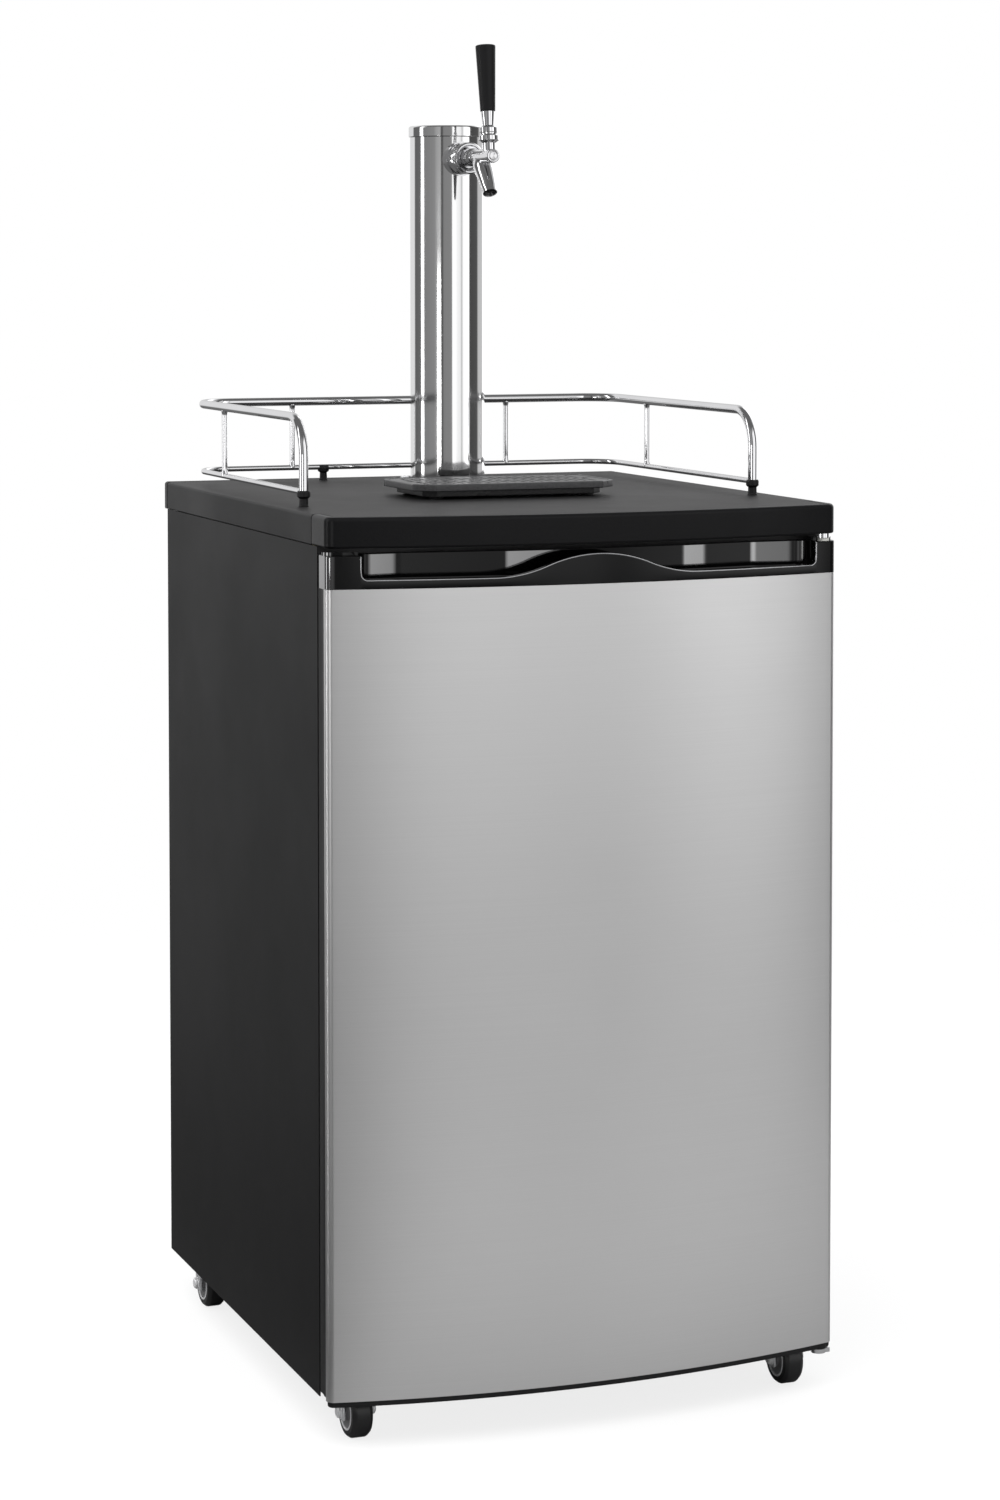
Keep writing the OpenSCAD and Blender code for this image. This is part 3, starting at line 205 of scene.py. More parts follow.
marks, given, result = shade_group("handling_marks", {"Scale": 8}, ["Mask", "Dust"])
marks_at = {"Vector": own_place(marks), "Scale": given["Scale"]}
cloud = node(marks, "TexNoise", {**marks_at, "Detail": 5, "Roughness": 0.62})
smear = ranged(marks, cloud.outputs[0], {"From Min": 0.2, "From Max": 0.8}, "SMOOTHSTEP")
upward = along(marks, node(marks, "NewGeometry").outputs["Normal"], "Z")
settled = node(marks, "Math", {0: upward, 1: smear}, operation="MULTIPLY", use_clamp=True)
marks.links.new(smear, result["Mask"])
marks.links.new(settled.outputs[0], result["Dust"])

pebble, given, result = shade_group("moulded_grain", {"Scale": 900}, ["Height", "Tone"])
grain_at = {"Vector": own_place(pebble), "Scale": given["Scale"]}
cells = node(pebble, "TexVoronoi", grain_at, feature="SMOOTH_F1")
ripple = node(pebble, "TexNoise", {**grain_at, "Detail": 3}).outputs[0]
both = node(pebble, "Math", {0: cells.outputs["Distance"], 1: 0.7, 2: ripple}, operation="MULTIPLY_ADD")
pebble.links.new(both.outputs[0], result["Height"])
pebble.links.new(ripple, result["Tone"])

brushed, given, result = shade_group("brushed_lines", {"Across X": 4, "Across Y": 4, "Across Z": 900},
    ["Height", "Tone"])
stretch = node(brushed, "CombineXYZ", {axis: given[f"Across {axis}"] for axis in "XYZ"})
drawn = node(brushed, "VectorMath", {0: own_place(brushed), 1: stretch.outputs[0]}, operation="MULTIPLY")
drawn_at = {"Vector": drawn.outputs[0], "Scale": 1}
scratch = node(brushed, "TexNoise", {**drawn_at, "Detail": 4, "Roughness": 0.7})
for label in ("Height", "Tone"):
    brushed.links.new(scratch.outputs[0], result[label])


def finish(name, deep, pale, rough, metallic=0, grain=None, brush=None, depth=0, haze=(8, 0.06),
        dust=0, **sockets):
    """Material that runs from the deep to the pale colour with its grain or brushing, with a bump of that
    depth in micrometres, roughness varied by handling marks and a little pale dust on upward faces."""
    made = bpy.data.materials.new(name)
    made.use_nodes = True
    tree = made.node_tree
    shader = tree.nodes["Principled BSDF"]
    shader.inputs["Metallic"].default_value = metallic
    for label, value in sockets.items():
        shader.inputs[label.replace("_", " ")].default_value = value
    worn = node(tree, "Group", {"Scale": haze[0]}, node_tree=marks).outputs
    tone = worn["Mask"]
    if grain or brush:
        pattern, scales = (pebble, [grain]) if grain else (brushed, brush)
        texture = node(tree, "Group", enumerate(scales), node_tree=pattern).outputs
        tone = texture["Tone"]
        relief = node(tree, "Bump", {"Strength": 1, "Distance": depth * 1e-6, "Height": texture["Height"]})
        tree.links.new(relief.outputs["Normal"], shader.inputs["Normal"])
    colour = mixed(tree, tone, (*deep, 1), (*pale, 1))
    if dust:
        film = node(tree, "Math", {0: worn["Dust"], 1: dust}, operation="MULTIPLY")
        colour = mixed(tree, film.outputs[0], colour, DUST)
    tree.links.new(colour, shader.inputs["Base Color"])
    gloss = ranged(tree, worn["Mask"], {"To Min": max(rough - haze[1], 0.01), "To Max": rough + haze[1]})
    tree.links.new(gloss, shader.inputs["Roughness"])
    return made


def eased(corners, radius, steps=6, closed=False):
    """Line through the corners with each one replaced by an arc of that radius: a rational curve of three
    points whose middle weight is the sine of half the corner's angle, so it is truly round."""
    p = np.asarray(corners, float)
    before, at, after = (np.roll(p, 1, 0), p, np.roll(p, -1, 0)) if closed else (p[:-2], p[1:-1], p[2:])
    a, b = before - at, after - at
    la, lb = np.linalg.norm(a, axis=1), np.linalg.norm(b, axis=1)
    a, b = a / la[:, None], b / lb[:, None]
    half = np.arccos(np.clip((a * b).sum(1), -1, 1)) / 2
    back = np.minimum(radius / np.tan(half), 0.49 * np.minimum(la, lb))[:, None]
    w = np.sin(half)[:, None, None]
    t = np.linspace(0, 1, steps)[None, :, None]
    start, end, mid = (at + a * back)[:, None], (at + b * back)[:, None], at[:, None]
    weighted = (1 - t) ** 2 * start + 2 * w * t * (1 - t) * mid + t ** 2 * end
    arc = (weighted / (1 + 2 * (w - 1) * t * (1 - t))).reshape(-1, p.shape[1])
    return arc if closed else np.vstack([p[:1], arc, p[-1:]])


def loft(rings, endless=False):
    """Closed skin over a stack of closed rings of equal count: four-cornered faces between neighbours, and
    a flat cap on the first and last ring, or the last joined to the first where it is endless."""
    k, n = rings.shape[:2]
    i = np.arange(k if endless else k - 1)[:, None]
    j = np.arange(n)[None, :]
    right = (j + 1) % n
    above = (i + 1) % k
    sides = np.stack([i * n + j, i * n + right, above * n + right, above * n + j], -1).reshape(-1, 4)
    caps = [] if endless else [np.arange(n)[None, ::-1], np.arange(n)[None, :] + (k - 1) * n]
    return rings.reshape(-1, 3), [sides, *caps]


def turned(profile, centre, axis="z", sides=64, endless=False):
    """Profile of radius and height carried round an axis through the centre: x = r cos, y = r sin, z = h."""
    r, h = np.asarray(profile, float).T
    a = np.linspace(0, 2 * np.pi, sides, endpoint=False)
    r, h = np.maximum(r, 0.02)[:, None], np.broadcast_to(h[:, None], (len(h), sides))
    u, v = r * np.cos(a), r * np.sin(a)
    order = {"z": (u, v, h), "x": (h, u, v), "y": (v, h, u)}[axis]
    return loft(np.stack(order, -1) + np.asarray(centre, float), endless)


def square(r0, r1, h0, h1, upright=False):
    """Four corners of two radii and two heights, which start along the radius or, if upright, the height."""
    return [(r0, h0), (r0, h1) if upright else (r1, h0), (r1, h1), (r1, h0) if upright else (r0, h1)]


def both_ways(half):
    """Profile that starts with half of it mirrored in height and comes back over the half itself."""
    return [(r, -h) for r, h in half] + half[::-1]


def put(name, parts, slot, *replaced, body="cabinet", angle=38):
    """One object from parts, each a material and its skins in millimetres. A skin whose enclosed volume,
    summed over its faces as fans, is negative is turned round. Edges over the angle stay sharp, and
    elsewhere the larger faces set the normals."""
    points, faces, finishes, kinds, count = [], [], [], [], 0
    for made, p, loops in [(made, *skin) for made, *skins in parts for skin in skins]:
        fans = [(p[f[:, 0]][:, None] * np.cross(p[f[:, 1:-1]], p[f[:, 2:]])).sum() for f in loops]
        loops = [f[:, ::-1] if sum(fans) < 0 else f for f in loops]
        if made not in kinds:
            kinds.append(made)
        for f in loops:
            faces += (f + count).tolist()
            finishes += [kinds.index(made)] * len(f)
        points.append(p)
        count += len(p)
    mesh = bpy.data.meshes.new(name)
    mesh.from_pydata((np.vstack(points) * 0.001).tolist(), [], faces)
    for made in kinds:
        mesh.materials.append(made)
    mesh.polygons.foreach_set("material_index", finishes)
    mesh.shade_smooth()
    mesh.set_sharp_from_angle(angle=math.radians(angle))
    piece = bpy.data.objects.new(name, mesh)
    scene.collection.objects.link(piece)
    even = piece.modifiers.new("even_normals", "WEIGHTED_NORMAL")
    even.keep_sharp = True
    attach(piece, body)
    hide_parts(*replaced)


tyre = finish("tyre_rubber", (0.005, 0.005, 0.0055), (0.010, 0.010, 0.0105), 0.36, grain=700, depth=40,
    dust=0.04)
hub_grey = finish("hub_grey", (0.16, 0.16, 0.165), (0.22, 0.22, 0.225), 0.4, grain=500, depth=30)
bright_trim = finish("bright_trim", (0.84, 0.84, 0.85), (0.93, 0.93, 0.94), 0.2, 0.15, haze=(40, 0.06))
tread = eased(both_ways([(BEAD_R, WEB_HALF), (17.8, WHEEL_HALF), (22, WHEEL_HALF), (WHEEL_R, 6.4)]),
    [0.4, 2, 3, 3, 2, 0.4])
disc = eased(both_ways([(AXLE_R + 0.1, HUB_HALF), (8, HUB_HALF), (8.4, 9.2), (BEAD_R + 0.1, WEB_HALF)]),
    [0.5, 0.6, 0.1, 0.1, 0.6, 0.5], 4)
trim_rings = [eased(square(15.9, 17.9, s * WEB_HALF, s * 10.4, True), 0.6, 4) for s in (-1, 1)]
for (end, side), at in WHEEL_AT.items():
    wheel = [(tyre, turned(tread, at, "x")), (hub_grey, turned(disc, at, "x", endless=True))]
    wheel += [(bright_trim, *(turned(ring, at, "x", 56, True) for ring in trim_rings))]
    put(f"{end}_wheel_{side}_moulded", wheel, "tyre_rubber", f"{end}_wheel_{side}",
        body=f"{end}_roller_{side}")


# Caster forks: pressed steel cheeks, zinc plated and bright, under a round crown
# that swivels on the front pair. A dome nut closes each end of the axle.
CHEEK_IN, CHEEK_T, EYE_R = 12, 2.5, 8
CROWN_Z, CROWN_T, BASE_Z = 51, 2.4, box("base_pan")[0][2]
FRONT_TRAIL, REAR_TRAIL = 13, 2
BLOCK_HALF_X, BLOCK_HALF_Y = 14.5, 16
zinc = finish("zinc_plate", (0.72, 0.73, 0.74), (0.90, 0.91, 0.92), 0.22, 0.4, haze=(60, 0.10))


def stacked(plan, profile, order=(0, 1, 2)):
    """Rings of a plan, which is a function of its inset: each profile point is an inset and a height, and
    order says which axis each column goes to."""
    rings = [np.column_stack([plan(t), np.full(len(plan(t)), h)]) for t, h in profile]
    return np.stack(rings)[..., list(order)]


def plate(plan, low, high, ease_low, ease_high, order=(0, 1, 2), steps=4):
    """Flat plate: the plan stacked from low to high with both edges rounded by quarter circles, where the
    inset is r(1 - sin a) and the height r(1 - cos a)."""
    a = np.linspace(0, np.pi / 2, steps)
    profile = [(ease_low * (1 - np.sin(q)), low + ease_low * (1 - np.cos(q))) for q in a]
    profile += [(ease_high * (1 - np.sin(q)), high - ease_high * (1 - np.cos(q))) for q in a[::-1]]
    return loft(stacked(plan, profile, order))


def cheek(x, y, trail):
    """Fork cheek beside a wheel: a polygon in y and z with rounded corners, as thick as the sheet along x."""
    def outline(t):
        eye, low, top = EYE_R - t, WHEEL_R - EYE_R + t, CROWN_Z - t
        corners = [(y + trail - 12 + t, top), (y + trail + eye, top), (y + eye, WHEEL_R), (y + eye, low),
            (y - eye, low), (y - eye, WHEEL_R)]
        return eased(corners, [1, 1, 12, 7, 7, 12], 6, True)
    return plate(outline, x, x + CHEEK_T, 0.6, 0.6, (2, 0, 1))


def fork(x, y, trail):
    """Two cheeks, the axle bar and, outside each cheek, a flat washer and a domed nut turned about x."""
    cheeks = [cheek(x + k, y, trail) for k in (CHEEK_IN, -CHEEK_IN - CHEEK_T)]
    dome = [(AXLE_R, 0), (7, 0), (7, 1), (5.9, 1.2), (5.7, 3), (4.2, 4.2), (0, 4.5)]
    cap = np.vstack([[(0, 0)], eased(dome, 0.8, 4)])
    face = CHEEK_IN + CHEEK_T
    caps = [turned(cap * (1, s) + (0, x + s * face), (0, y, WHEEL_R), "x", 40) for s in (-1, 1)]
    bar = turned([(AXLE_R - 0.05, x - face), (AXLE_R - 0.05, x + face)], (0, y, WHEEL_R), "x", 32)
    return [(zinc, *cheeks), (bright_trim, *caps), (zinc, bar)]


def crown_block(x, y):
    """Block that fixes a rear fork to the base, as a rounded rectangle of its inset."""
    def outline(t):
        wide, long = BLOCK_HALF_X - t, BLOCK_HALF_Y - t
        return eased(square(x - wide, x + wide, y - long, y + long), 2, 4, True)
    return plate(outline, CROWN_Z, BASE_Z, 0.6, 0.2)


crown = eased(square(5.1, 15.2, CROWN_Z, CROWN_Z + CROWN_T), 0.9, 4)
rear_forks = []
for side in SIDES:
    x, y, _ = WHEEL_AT["front", side]
    swivel = [(zinc, turned(crown, (x, y + FRONT_TRAIL, 0), "z", 56, True))]
    put(f"front_fork_{side}_pressed", fork(x, y, FRONT_TRAIL) + swivel, "zinc_steel", f"front_fork_{side}",
        body=f"front_caster_{side}")
    x, y, _ = WHEEL_AT["rear", side]
    rear_forks += fork(x, y, REAR_TRAIL) + [(zinc, crown_block(x, y))]
put("rear_forks_pressed", rear_forks, "zinc_steel", "rear_forks")


# Sheet steel of the cabinet: painted sides with a fine texture, a plain dark
# back and base, and the folded front face. All are flat folded sheets.
BACK_Y = box("rear_panel")[1][1]
SCREW_X, SCREW_Z = (-240, -120, 0, 120, 240), (262, 815)
SIDE_SCREW_Z = (400, 540, 680)
painted = finish("side_paint", (0.008, 0.008, 0.0083), (0.0112, 0.0112, 0.0115), 0.5, grain=1500,
    depth=30, haze=(3, 0.05), Specular_IOR_Level=0.16)
plain_steel = finish("plain_black_steel", (0.030, 0.030, 0.031), (0.045, 0.045, 0.047), 0.5, grain=900,
    depth=30, haze=(5, 0.09), dust=0.25)


def dress(made, *labels):
    """Gives CAD nodes whose shape is right their finish."""
    for label in labels:
        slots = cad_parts[label].data.materials
        slots.clear()
        slots.append(made)


dress(painted, "left_panel", "right_panel")
dress(plain_steel, "rear_panel", "base_pan", "front_frame")
dress(zinc, "caster_plates")
heads = [(x, BACK_Y, z) for x in SCREW_X for z in SCREW_Z]
heads += [(x, BACK_Y, z) for x in (SCREW_X[0], SCREW_X[-1]) for z in SIDE_SCREW_Z]
pan_head = eased([(0, 0), (4.2, 0), (4.2, 1.1), (0, 2.6)], 0.9, 5)
panel_screws = [turned(pan_head, at, "y", 20) for at in heads]
put("rear_panel_screws", [(zinc, *panel_screws)], "zinc_steel")


# Inside: a white vacuum-formed liner with a step over the compressor, foamed in
# place; a plate evaporator and a thermostat box are screwed to its back wall.
(STAT_X0, STAT_FACE, STAT_Z0), (STAT_X1, STAT_WALL, STAT_Z1) = box("thermostat_box")
STAT_AT = ((STAT_X0 + STAT_X1) / 2, STAT_FACE, (STAT_Z0 + STAT_Z1) / 2)
white = finish("liner_white", (0.78, 0.78, 0.77), (0.83, 0.83, 0.82), 0.32, grain=260, depth=30,
    haze=(4, 0.07))
foam = finish("foam_core", (0.62, 0.54, 0.30), (0.74, 0.66, 0.42), 0.85, grain=420, depth=400)
rolled_alu = finish("rolled_aluminium", (0.58, 0.59, 0.60), (0.70, 0.71, 0.72), 0.33, 1,
    brush=(3, 3, 700), depth=20)
moulded_black = finish("moulded_black", (0.005, 0.005, 0.0055), (0.010, 0.010, 0.0105), 0.42, grain=1100,
    depth=30, Specular_IOR_Level=0.3)
dress(white, "inner_liner")
dress(foam, "insulation", "door_core")
dress(rolled_alu, "evaporator_plate")
dress(moulded_black, "cord_gland")


def round_box(x0, x1, y0, y1, radius):
    """Rectangle with rounded corners as a function of its inset."""
    def outline(t):
        return eased(square(x0 + t, x1 - t, y0 + t, y1 - t), max(radius - t, 0.2), 6, True)
    return outline


case = plate(round_box(STAT_X0, STAT_X1, STAT_Z0, STAT_Z1, 7), STAT_FACE, STAT_WALL, 3.5, 0.3, (0, 2, 1))
dial_ring = turned(eased(square(17.5, 19.5, -0.2, -0.9, True), 0.2, 3), STAT_AT, "y", 48, True)
put("thermostat_case", [(white, case), (moulded_black, dial_ring)], "white_plastic", "thermostat_box")
knob = turned(eased([(0, -0.4), (15, -0.4), (14, -15.6), (0, -16)], 1.6, 5), STAT_AT, "y", 60)
ridge = plate(round_box(STAT_AT[0] - 2.5, STAT_AT[0] + 2.5, STAT_AT[2] - 13.8, STAT_AT[2] + 13.8, 2.4),
    STAT_FACE - 19.8, STAT_FACE - 14, 1, 0.1, (0, 2, 1))
put("thermostat_dial", [(moulded_black, knob), (hub_grey, ridge)], "matte_black", "thermostat_knob",
    body="thermostat_dial")


# Cooling set: a welded compressor shell on a base plate with rubber feet in the
# rear bay, and a black wire-on-tube condenser stood off the rear panel.
COMP_X, COMP_Y, _ = box("compressor").mean(0)
COMP_FLOOR = box("compressor")[0][2]
PLATE_Z, SHELL_Z, SHELL_R, SHELL_H = COMP_FLOOR + 9, COMP_FLOOR + 12, 62, 128
PLATE_HALF_X, PLATE_HALF_Y, FOOT_X, FOOT_Y, FOOT_R = 85, 45, 72, 34, 10
COIL_Y, COIL_Z, COIL_PITCH, COIL_TURNS = 254, 305.2, 54, 7
WIRE_HALF, WIRE_PITCH, WIRE_END, WIRE_OFF, WIRE_R_THIN = 180, 9, 12, 3, 0.75
shell_black = finish("shell_paint", (0.012, 0.012, 0.013), (0.022, 0.022, 0.023), 0.34, grain=600,
    depth=50, dust=0.3)
rubber_black = finish("black_rubber", (0.010, 0.010, 0.010), (0.018, 0.018, 0.018), 0.62, grain=1300,
    depth=40)
pot = eased([(0, 0), (42, 0), (SHELL_R, 14), (SHELL_R, 58), (61, 59), (61, 62),
    (SHELL_R, 63), (SHELL_R, 110), (36, SHELL_H), (0, SHELL_H)], [8, 9, 0.4, 0.4, 0.4, 0.4, 22, 14], 7)
foot_plate = plate(round_box(COMP_X - PLATE_HALF_X, COMP_X + PLATE_HALF_X, COMP_Y - PLATE_HALF_Y,
    COMP_Y + PLATE_HALF_Y, 9), PLATE_Z, SHELL_Z + 0.2, 0.6, 0.6)
grommet = eased([(0, 0.1), (FOOT_R, 0.1), (FOOT_R, 3.8), (8.2, 4.6), (FOOT_R, 5.4), (FOOT_R, 9),
    (0, 9)], 0.6, 3)
feet = [turned(grommet, (COMP_X + sx * FOOT_X, COMP_Y + sy * FOOT_Y, COMP_FLOOR), "z", 28)
    for sx in (-1, 1) for sy in (-1, 1)]
relay = plate(round_box(COMP_Y - 22, COMP_Y + 22, 96, 142, 5), COMP_X - 81, COMP_X - 55, 3, 0.3, (2, 0, 1))
shell = turned(pot, (COMP_X, COMP_Y, SHELL_Z), "z", 72)
put("compressor_welded", [(shell_black, shell, foot_plate), (moulded_black, relay), (rubber_black, *feet)],
    "plain_steel", "compressor")


def rod(path, radius, ref, sides=14):
    """Round rod along a path: rings in the plane of ref, made square to the way, and the cross of the two."""
    path = np.asarray(path, float)
    way = np.gradient(path, axis=0)
    way /= np.linalg.norm(way, axis=1)[:, None]
    side = np.broadcast_to(np.asarray(ref, float), path.shape)
    side = side - (side * way).sum(1)[:, None] * way
    side = side / np.linalg.norm(side, axis=1)[:, None]
    other = np.cross(way, side)
    a = np.linspace(0, 2 * np.pi, sides, endpoint=False)[None, :, None]
    reach = np.broadcast_to(np.asarray(radius, float), len(path))[:, None, None]
    return loft(path[:, None] + reach * (np.cos(a) * side[:, None] + np.sin(a) * other[:, None]))


dress(shell_black, "condenser")
wire_z = (COIL_Z - WIRE_END, COIL_Z + COIL_TURNS * COIL_PITCH + WIRE_END)
wires = [rod([(x, COIL_Y + s * WIRE_OFF, z) for z in wire_z], WIRE_R_THIN, (0, 1, 0), 6)
    for x in np.arange(-WIRE_HALF, WIRE_HALF + 1, WIRE_PITCH) for s in (-1, 1)]
put("condenser_wires", [(shell_black, *wires)], "plain_steel")


# Worktop: a moulded board with a fine grain and rounded edges, closed by a
# pebbled strip round its bowed front and another along its rear edge.
_, (TOP_HALF, BOARD_END, TOP_Z1) = box("worktop")
TOP_Z0, STRIP_END = box("worktop")[0][2], box("worktop_trims")[1][1]
TOP_CROWN, TOP_RAD, TOP_FIL = -292.92, 973.25, 11
TRIM_T, TRIM_END, TRIM_GAP, SEAM = 8, -215.3, 0.15, 1.6
board_grain = finish("worktop_grain", (0.008, 0.008, 0.0084), (0.0125, 0.0125, 0.0129), 0.48, grain=1400,
    depth=60, haze=(5, 0.05), dust=0.03, Specular_IOR_Level=0.21)
trim_grain = finish("trim_pebble", (0.005, 0.005, 0.0055), (0.008, 0.008, 0.0085), 0.34, grain=620,
    depth=80, Specular_IOR_Level=0.13)


def bow_front(half, crown, rad, fil):
    """Bowed front as a function of its inset t: an arc of radius rad - t between two corner arcs of radius
    fil - t, each from the direction of the side to that of the bow where they meet."""
    def line(t):
        h, c, r, f = half - t, crown + t, rad - t, max(fil - t, 0.4)
        mid, fx = c + r, h - f
        phi = math.asin(fx / (r - f))
        fy = mid - (r - f) * math.cos(phi)
        a = np.linspace(math.pi, 1.5 * math.pi - phi, 9)
        left = np.column_stack([-fx + f * np.cos(a), fy + f * np.sin(a)])
        b = np.linspace(-phi, phi, 73)[1:-1]
        bow = np.column_stack([r * np.sin(b), mid - r * np.cos(b)])
        return np.vstack([left, bow, left[::-1] * (-1, 1)])
    return line


top_front = bow_front(TOP_HALF, TOP_CROWN, TOP_RAD, TOP_FIL)


def board(t):
    """Plan of the board: full width behind the strip ends, and inside the strip in front of them."""
    out, step, inset = TOP_HALF - t, TRIM_END + SEAM + t, TRIM_T + TRIM_GAP + t
    ends = [(out, step), (out, BOARD_END - t), (-out, BOARD_END - t), (-out, step)]
    return np.vstack([(inset - TOP_HALF, step), top_front(inset), (TOP_HALF - inset, step), *ends])


put("worktop_moulded", [(board_grain, plate(board, TOP_Z0, TOP_Z1, 1.5, 3.2, steps=6))], "worktop_board",
    "worktop")


def band(profile, line, end):
    """Strip along an open line: each profile point gives an inset of the line and a height, and the line
    runs on along the sides to the end plane."""
    def run(t, z):
        p = line(t)
        p = np.vstack([(p[0, 0], end), p, (p[-1, 0], end)])
        return np.column_stack([p, np.full(len(p), z)])
    return loft(np.stack([run(t, z) for t, z in profile], 1))


lip = eased(square(0, TRIM_T, TOP_Z0, TOP_Z1, True), [2.2, 4.6, 0.5, 0.5], 6, True)
rear_strip = plate(round_box(-TOP_HALF, TOP_HALF, BOARD_END + 0.1, STRIP_END, 3), TOP_Z0, TOP_Z1, 1, 3.2,
    steps=6)
put("worktop_strips", [(trim_grain, band(lip, top_front, TRIM_END), rear_strip)], "trim_plastic",
    "worktop_trims")


# Guard rail: chrome plated rods bent and welded, a thick upper loop that turns
# down into the front legs, a thin lower loop and short posts, on black feet.
ROD_OUT, ROD_R, WIRE_R = 4.5, 4.4, 2.8
_, RAIL_Y0, _ = box("guard_rail")[0] + ROD_OUT
RAIL_X, RAIL_Y1, RAIL_UP = box("guard_rail")[1] - ROD_OUT
LOOP_H, LEG_H, SIDE_POST_Y = 13.7, 8.7, 145
RAIL_LOW, LEG_Z = TOP_Z1 + LOOP_H, TOP_Z1 + LEG_H
BACK_SHIFT, BACK_POST, BACK_FOOT = -6, 120, 86
FRONT_BEND, BACK_BEND = 40, 38
chrome = finish("chrome_plate", (0.78, 0.78, 0.79), (0.84, 0.84, 0.85), 0.06, 1, haze=(14, 0.03))


def bent(corners, radii, steps=14):
    """Bent rod through corners, with its ring planes held by the level normal of the way it runs."""
    path = eased(corners, radii, steps)
    way = np.gradient(path, axis=0)
    level = np.column_stack([way[:, 1], -way[:, 0], 0 * way[:, 0]])
    upright = np.linalg.norm(level, axis=1) < 1e-6
    level[upright] = np.column_stack([-np.sign(path[:, 0]), 0 * path[:, 0], 0 * path[:, 0]])[upright]
    return path, level


def post(x, y):
    """Post between the two loops whose ends flare into the weld by a falling exponential."""
    z = np.linspace(RAIL_LOW, RAIL_UP, 48)
    flare = 0.6 * np.exp(-np.minimum(z - RAIL_LOW - WIRE_R, RAIL_UP - ROD_R - z).clip(0) / 1.4)
    return rod(np.column_stack([0 * z + x, 0 * z + y, z]), WIRE_R + flare, (1, 0, 0), 16)


loop = [(-RAIL_X, RAIL_Y0), (-RAIL_X, RAIL_Y1), (RAIL_X, RAIL_Y1), (RAIL_X, RAIL_Y0)]
upper, upper_side = bent([(*loop[0], LEG_Z), *[(*p, RAIL_UP) for p in loop], (*loop[-1], LEG_Z)],
    [FRONT_BEND, BACK_BEND, BACK_BEND, FRONT_BEND])
lower, lower_side = bent([(*p, RAIL_LOW) for p in loop], BACK_BEND)
posts = [post(s * RAIL_X, SIDE_POST_Y) for s in (-1, 1)]
posts += [post(BACK_SHIFT + s * BACK_POST, RAIL_Y1) for s in (-1, 1)]
rods = [rod(upper, ROD_R, upper_side, 24), rod(lower, WIRE_R, lower_side, 18)]
put("guard_rail_plated", [(chrome, *rods, *posts)], "chrome", "guard_rail")
front_foot = eased([(0, 0), (5.4, 0), (4.4, 1.6), (4.2, 7.6), (6.3, 9.6), (6.3, LOOP_H), (5.6, LOOP_H + 1.4),
    (0, LOOP_H + 1.4)], 0.5, 4)
back_foot = eased([(0, 0), (5.2, 0), (4, 1.6), (3.7, 8), (5.8, 9.4), (6.2, LOOP_H - 1),
    (5.4, LOOP_H + 2.2), (0, LOOP_H + 2.2)], 0.5, 4)
rail_feet = [turned(front_foot, (s * RAIL_X, RAIL_Y0, TOP_Z1), "z", 36) for s in (-1, 1)]
rail_feet += [turned(back_foot, (BACK_SHIFT + s * BACK_FOOT, RAIL_Y1, TOP_Z1), "z", 36) for s in (-1, 1)]
put("rail_feet_moulded", [(moulded_black, *rail_feet)], "black_rubber", "rail_feet")


# Tower: a polished stainless tube on a screwed foot flange, closed by a cap
# with a shallow groove under it. The polish runs along the tube.
TOWER_Y = box("tower_tube").mean(0)[1]
TOWER_R, _, TUBE_Z1 = box("tower_tube")[1]
TUBE_Z0 = box("tower_tube")[0][2]
CAP_R, _, CAP_TOP = box("tower_cap")[1]
FLANGE_R = box("tower_flange")[1][0]
TUBE_T, CAP_PLUG, CAP_EDGE, SCREW_RING, LAP = 2, 5.9, 1.3, 49, 0.1
polished = finish("polished_steel", (0.80, 0.80, 0.80), (0.88, 0.88, 0.88), 0.075, 1,
    brush=(900, 900, 3), depth=2, haze=(10, 0.025))
tower_foot = (0, TOWER_Y, 0)
tube = eased(square(TOWER_R - TUBE_T, TOWER_R, TUBE_Z0, TUBE_Z1 - LAP), 0.4, 3)
put("tower_polished", [(polished, turned(tube, tower_foot, "z", 128, True))], "chrome", "tower_tube")
plug_z, brim_z = TUBE_Z1 - CAP_PLUG, TUBE_Z1 + LAP
cap = eased([(0, plug_z), (35.8, plug_z), (35.8, brim_z), (CAP_R, brim_z), (CAP_R, CAP_TOP - CAP_EDGE),
    (38, CAP_TOP), (0, CAP_TOP)], [0.2, 0.2, 0.5, 1.2, 1.2], 5)
put("tower_cap_spun", [(polished, turned(cap, tower_foot, "z", 128))], "chrome", "tower_cap")
flange = eased([(20, TOP_Z1), (FLANGE_R, TOP_Z1), (FLANGE_R, TOP_Z1 + 3.3), (52, TUBE_Z0 - LAP),
    (20, TUBE_Z0 - LAP)], [0.3, 1.4, 3], 6)
dome_head = eased([(0, -2.3), (4.6, -2.3), (4.6, 0.7), (0, 2.3)], 0.9, 5)
screws = [turned(dome_head, (SCREW_RING * math.cos(q), TOWER_Y + SCREW_RING * math.sin(q), TUBE_Z0), "z", 24)
    for q in np.radians([45, 135, 225, 315])]
flange_ring = turned(flange, tower_foot, "z", 96, True)
put("tower_flange_turned", [(polished, flange_ring), (zinc, *screws)], "chrome", "tower_flange")


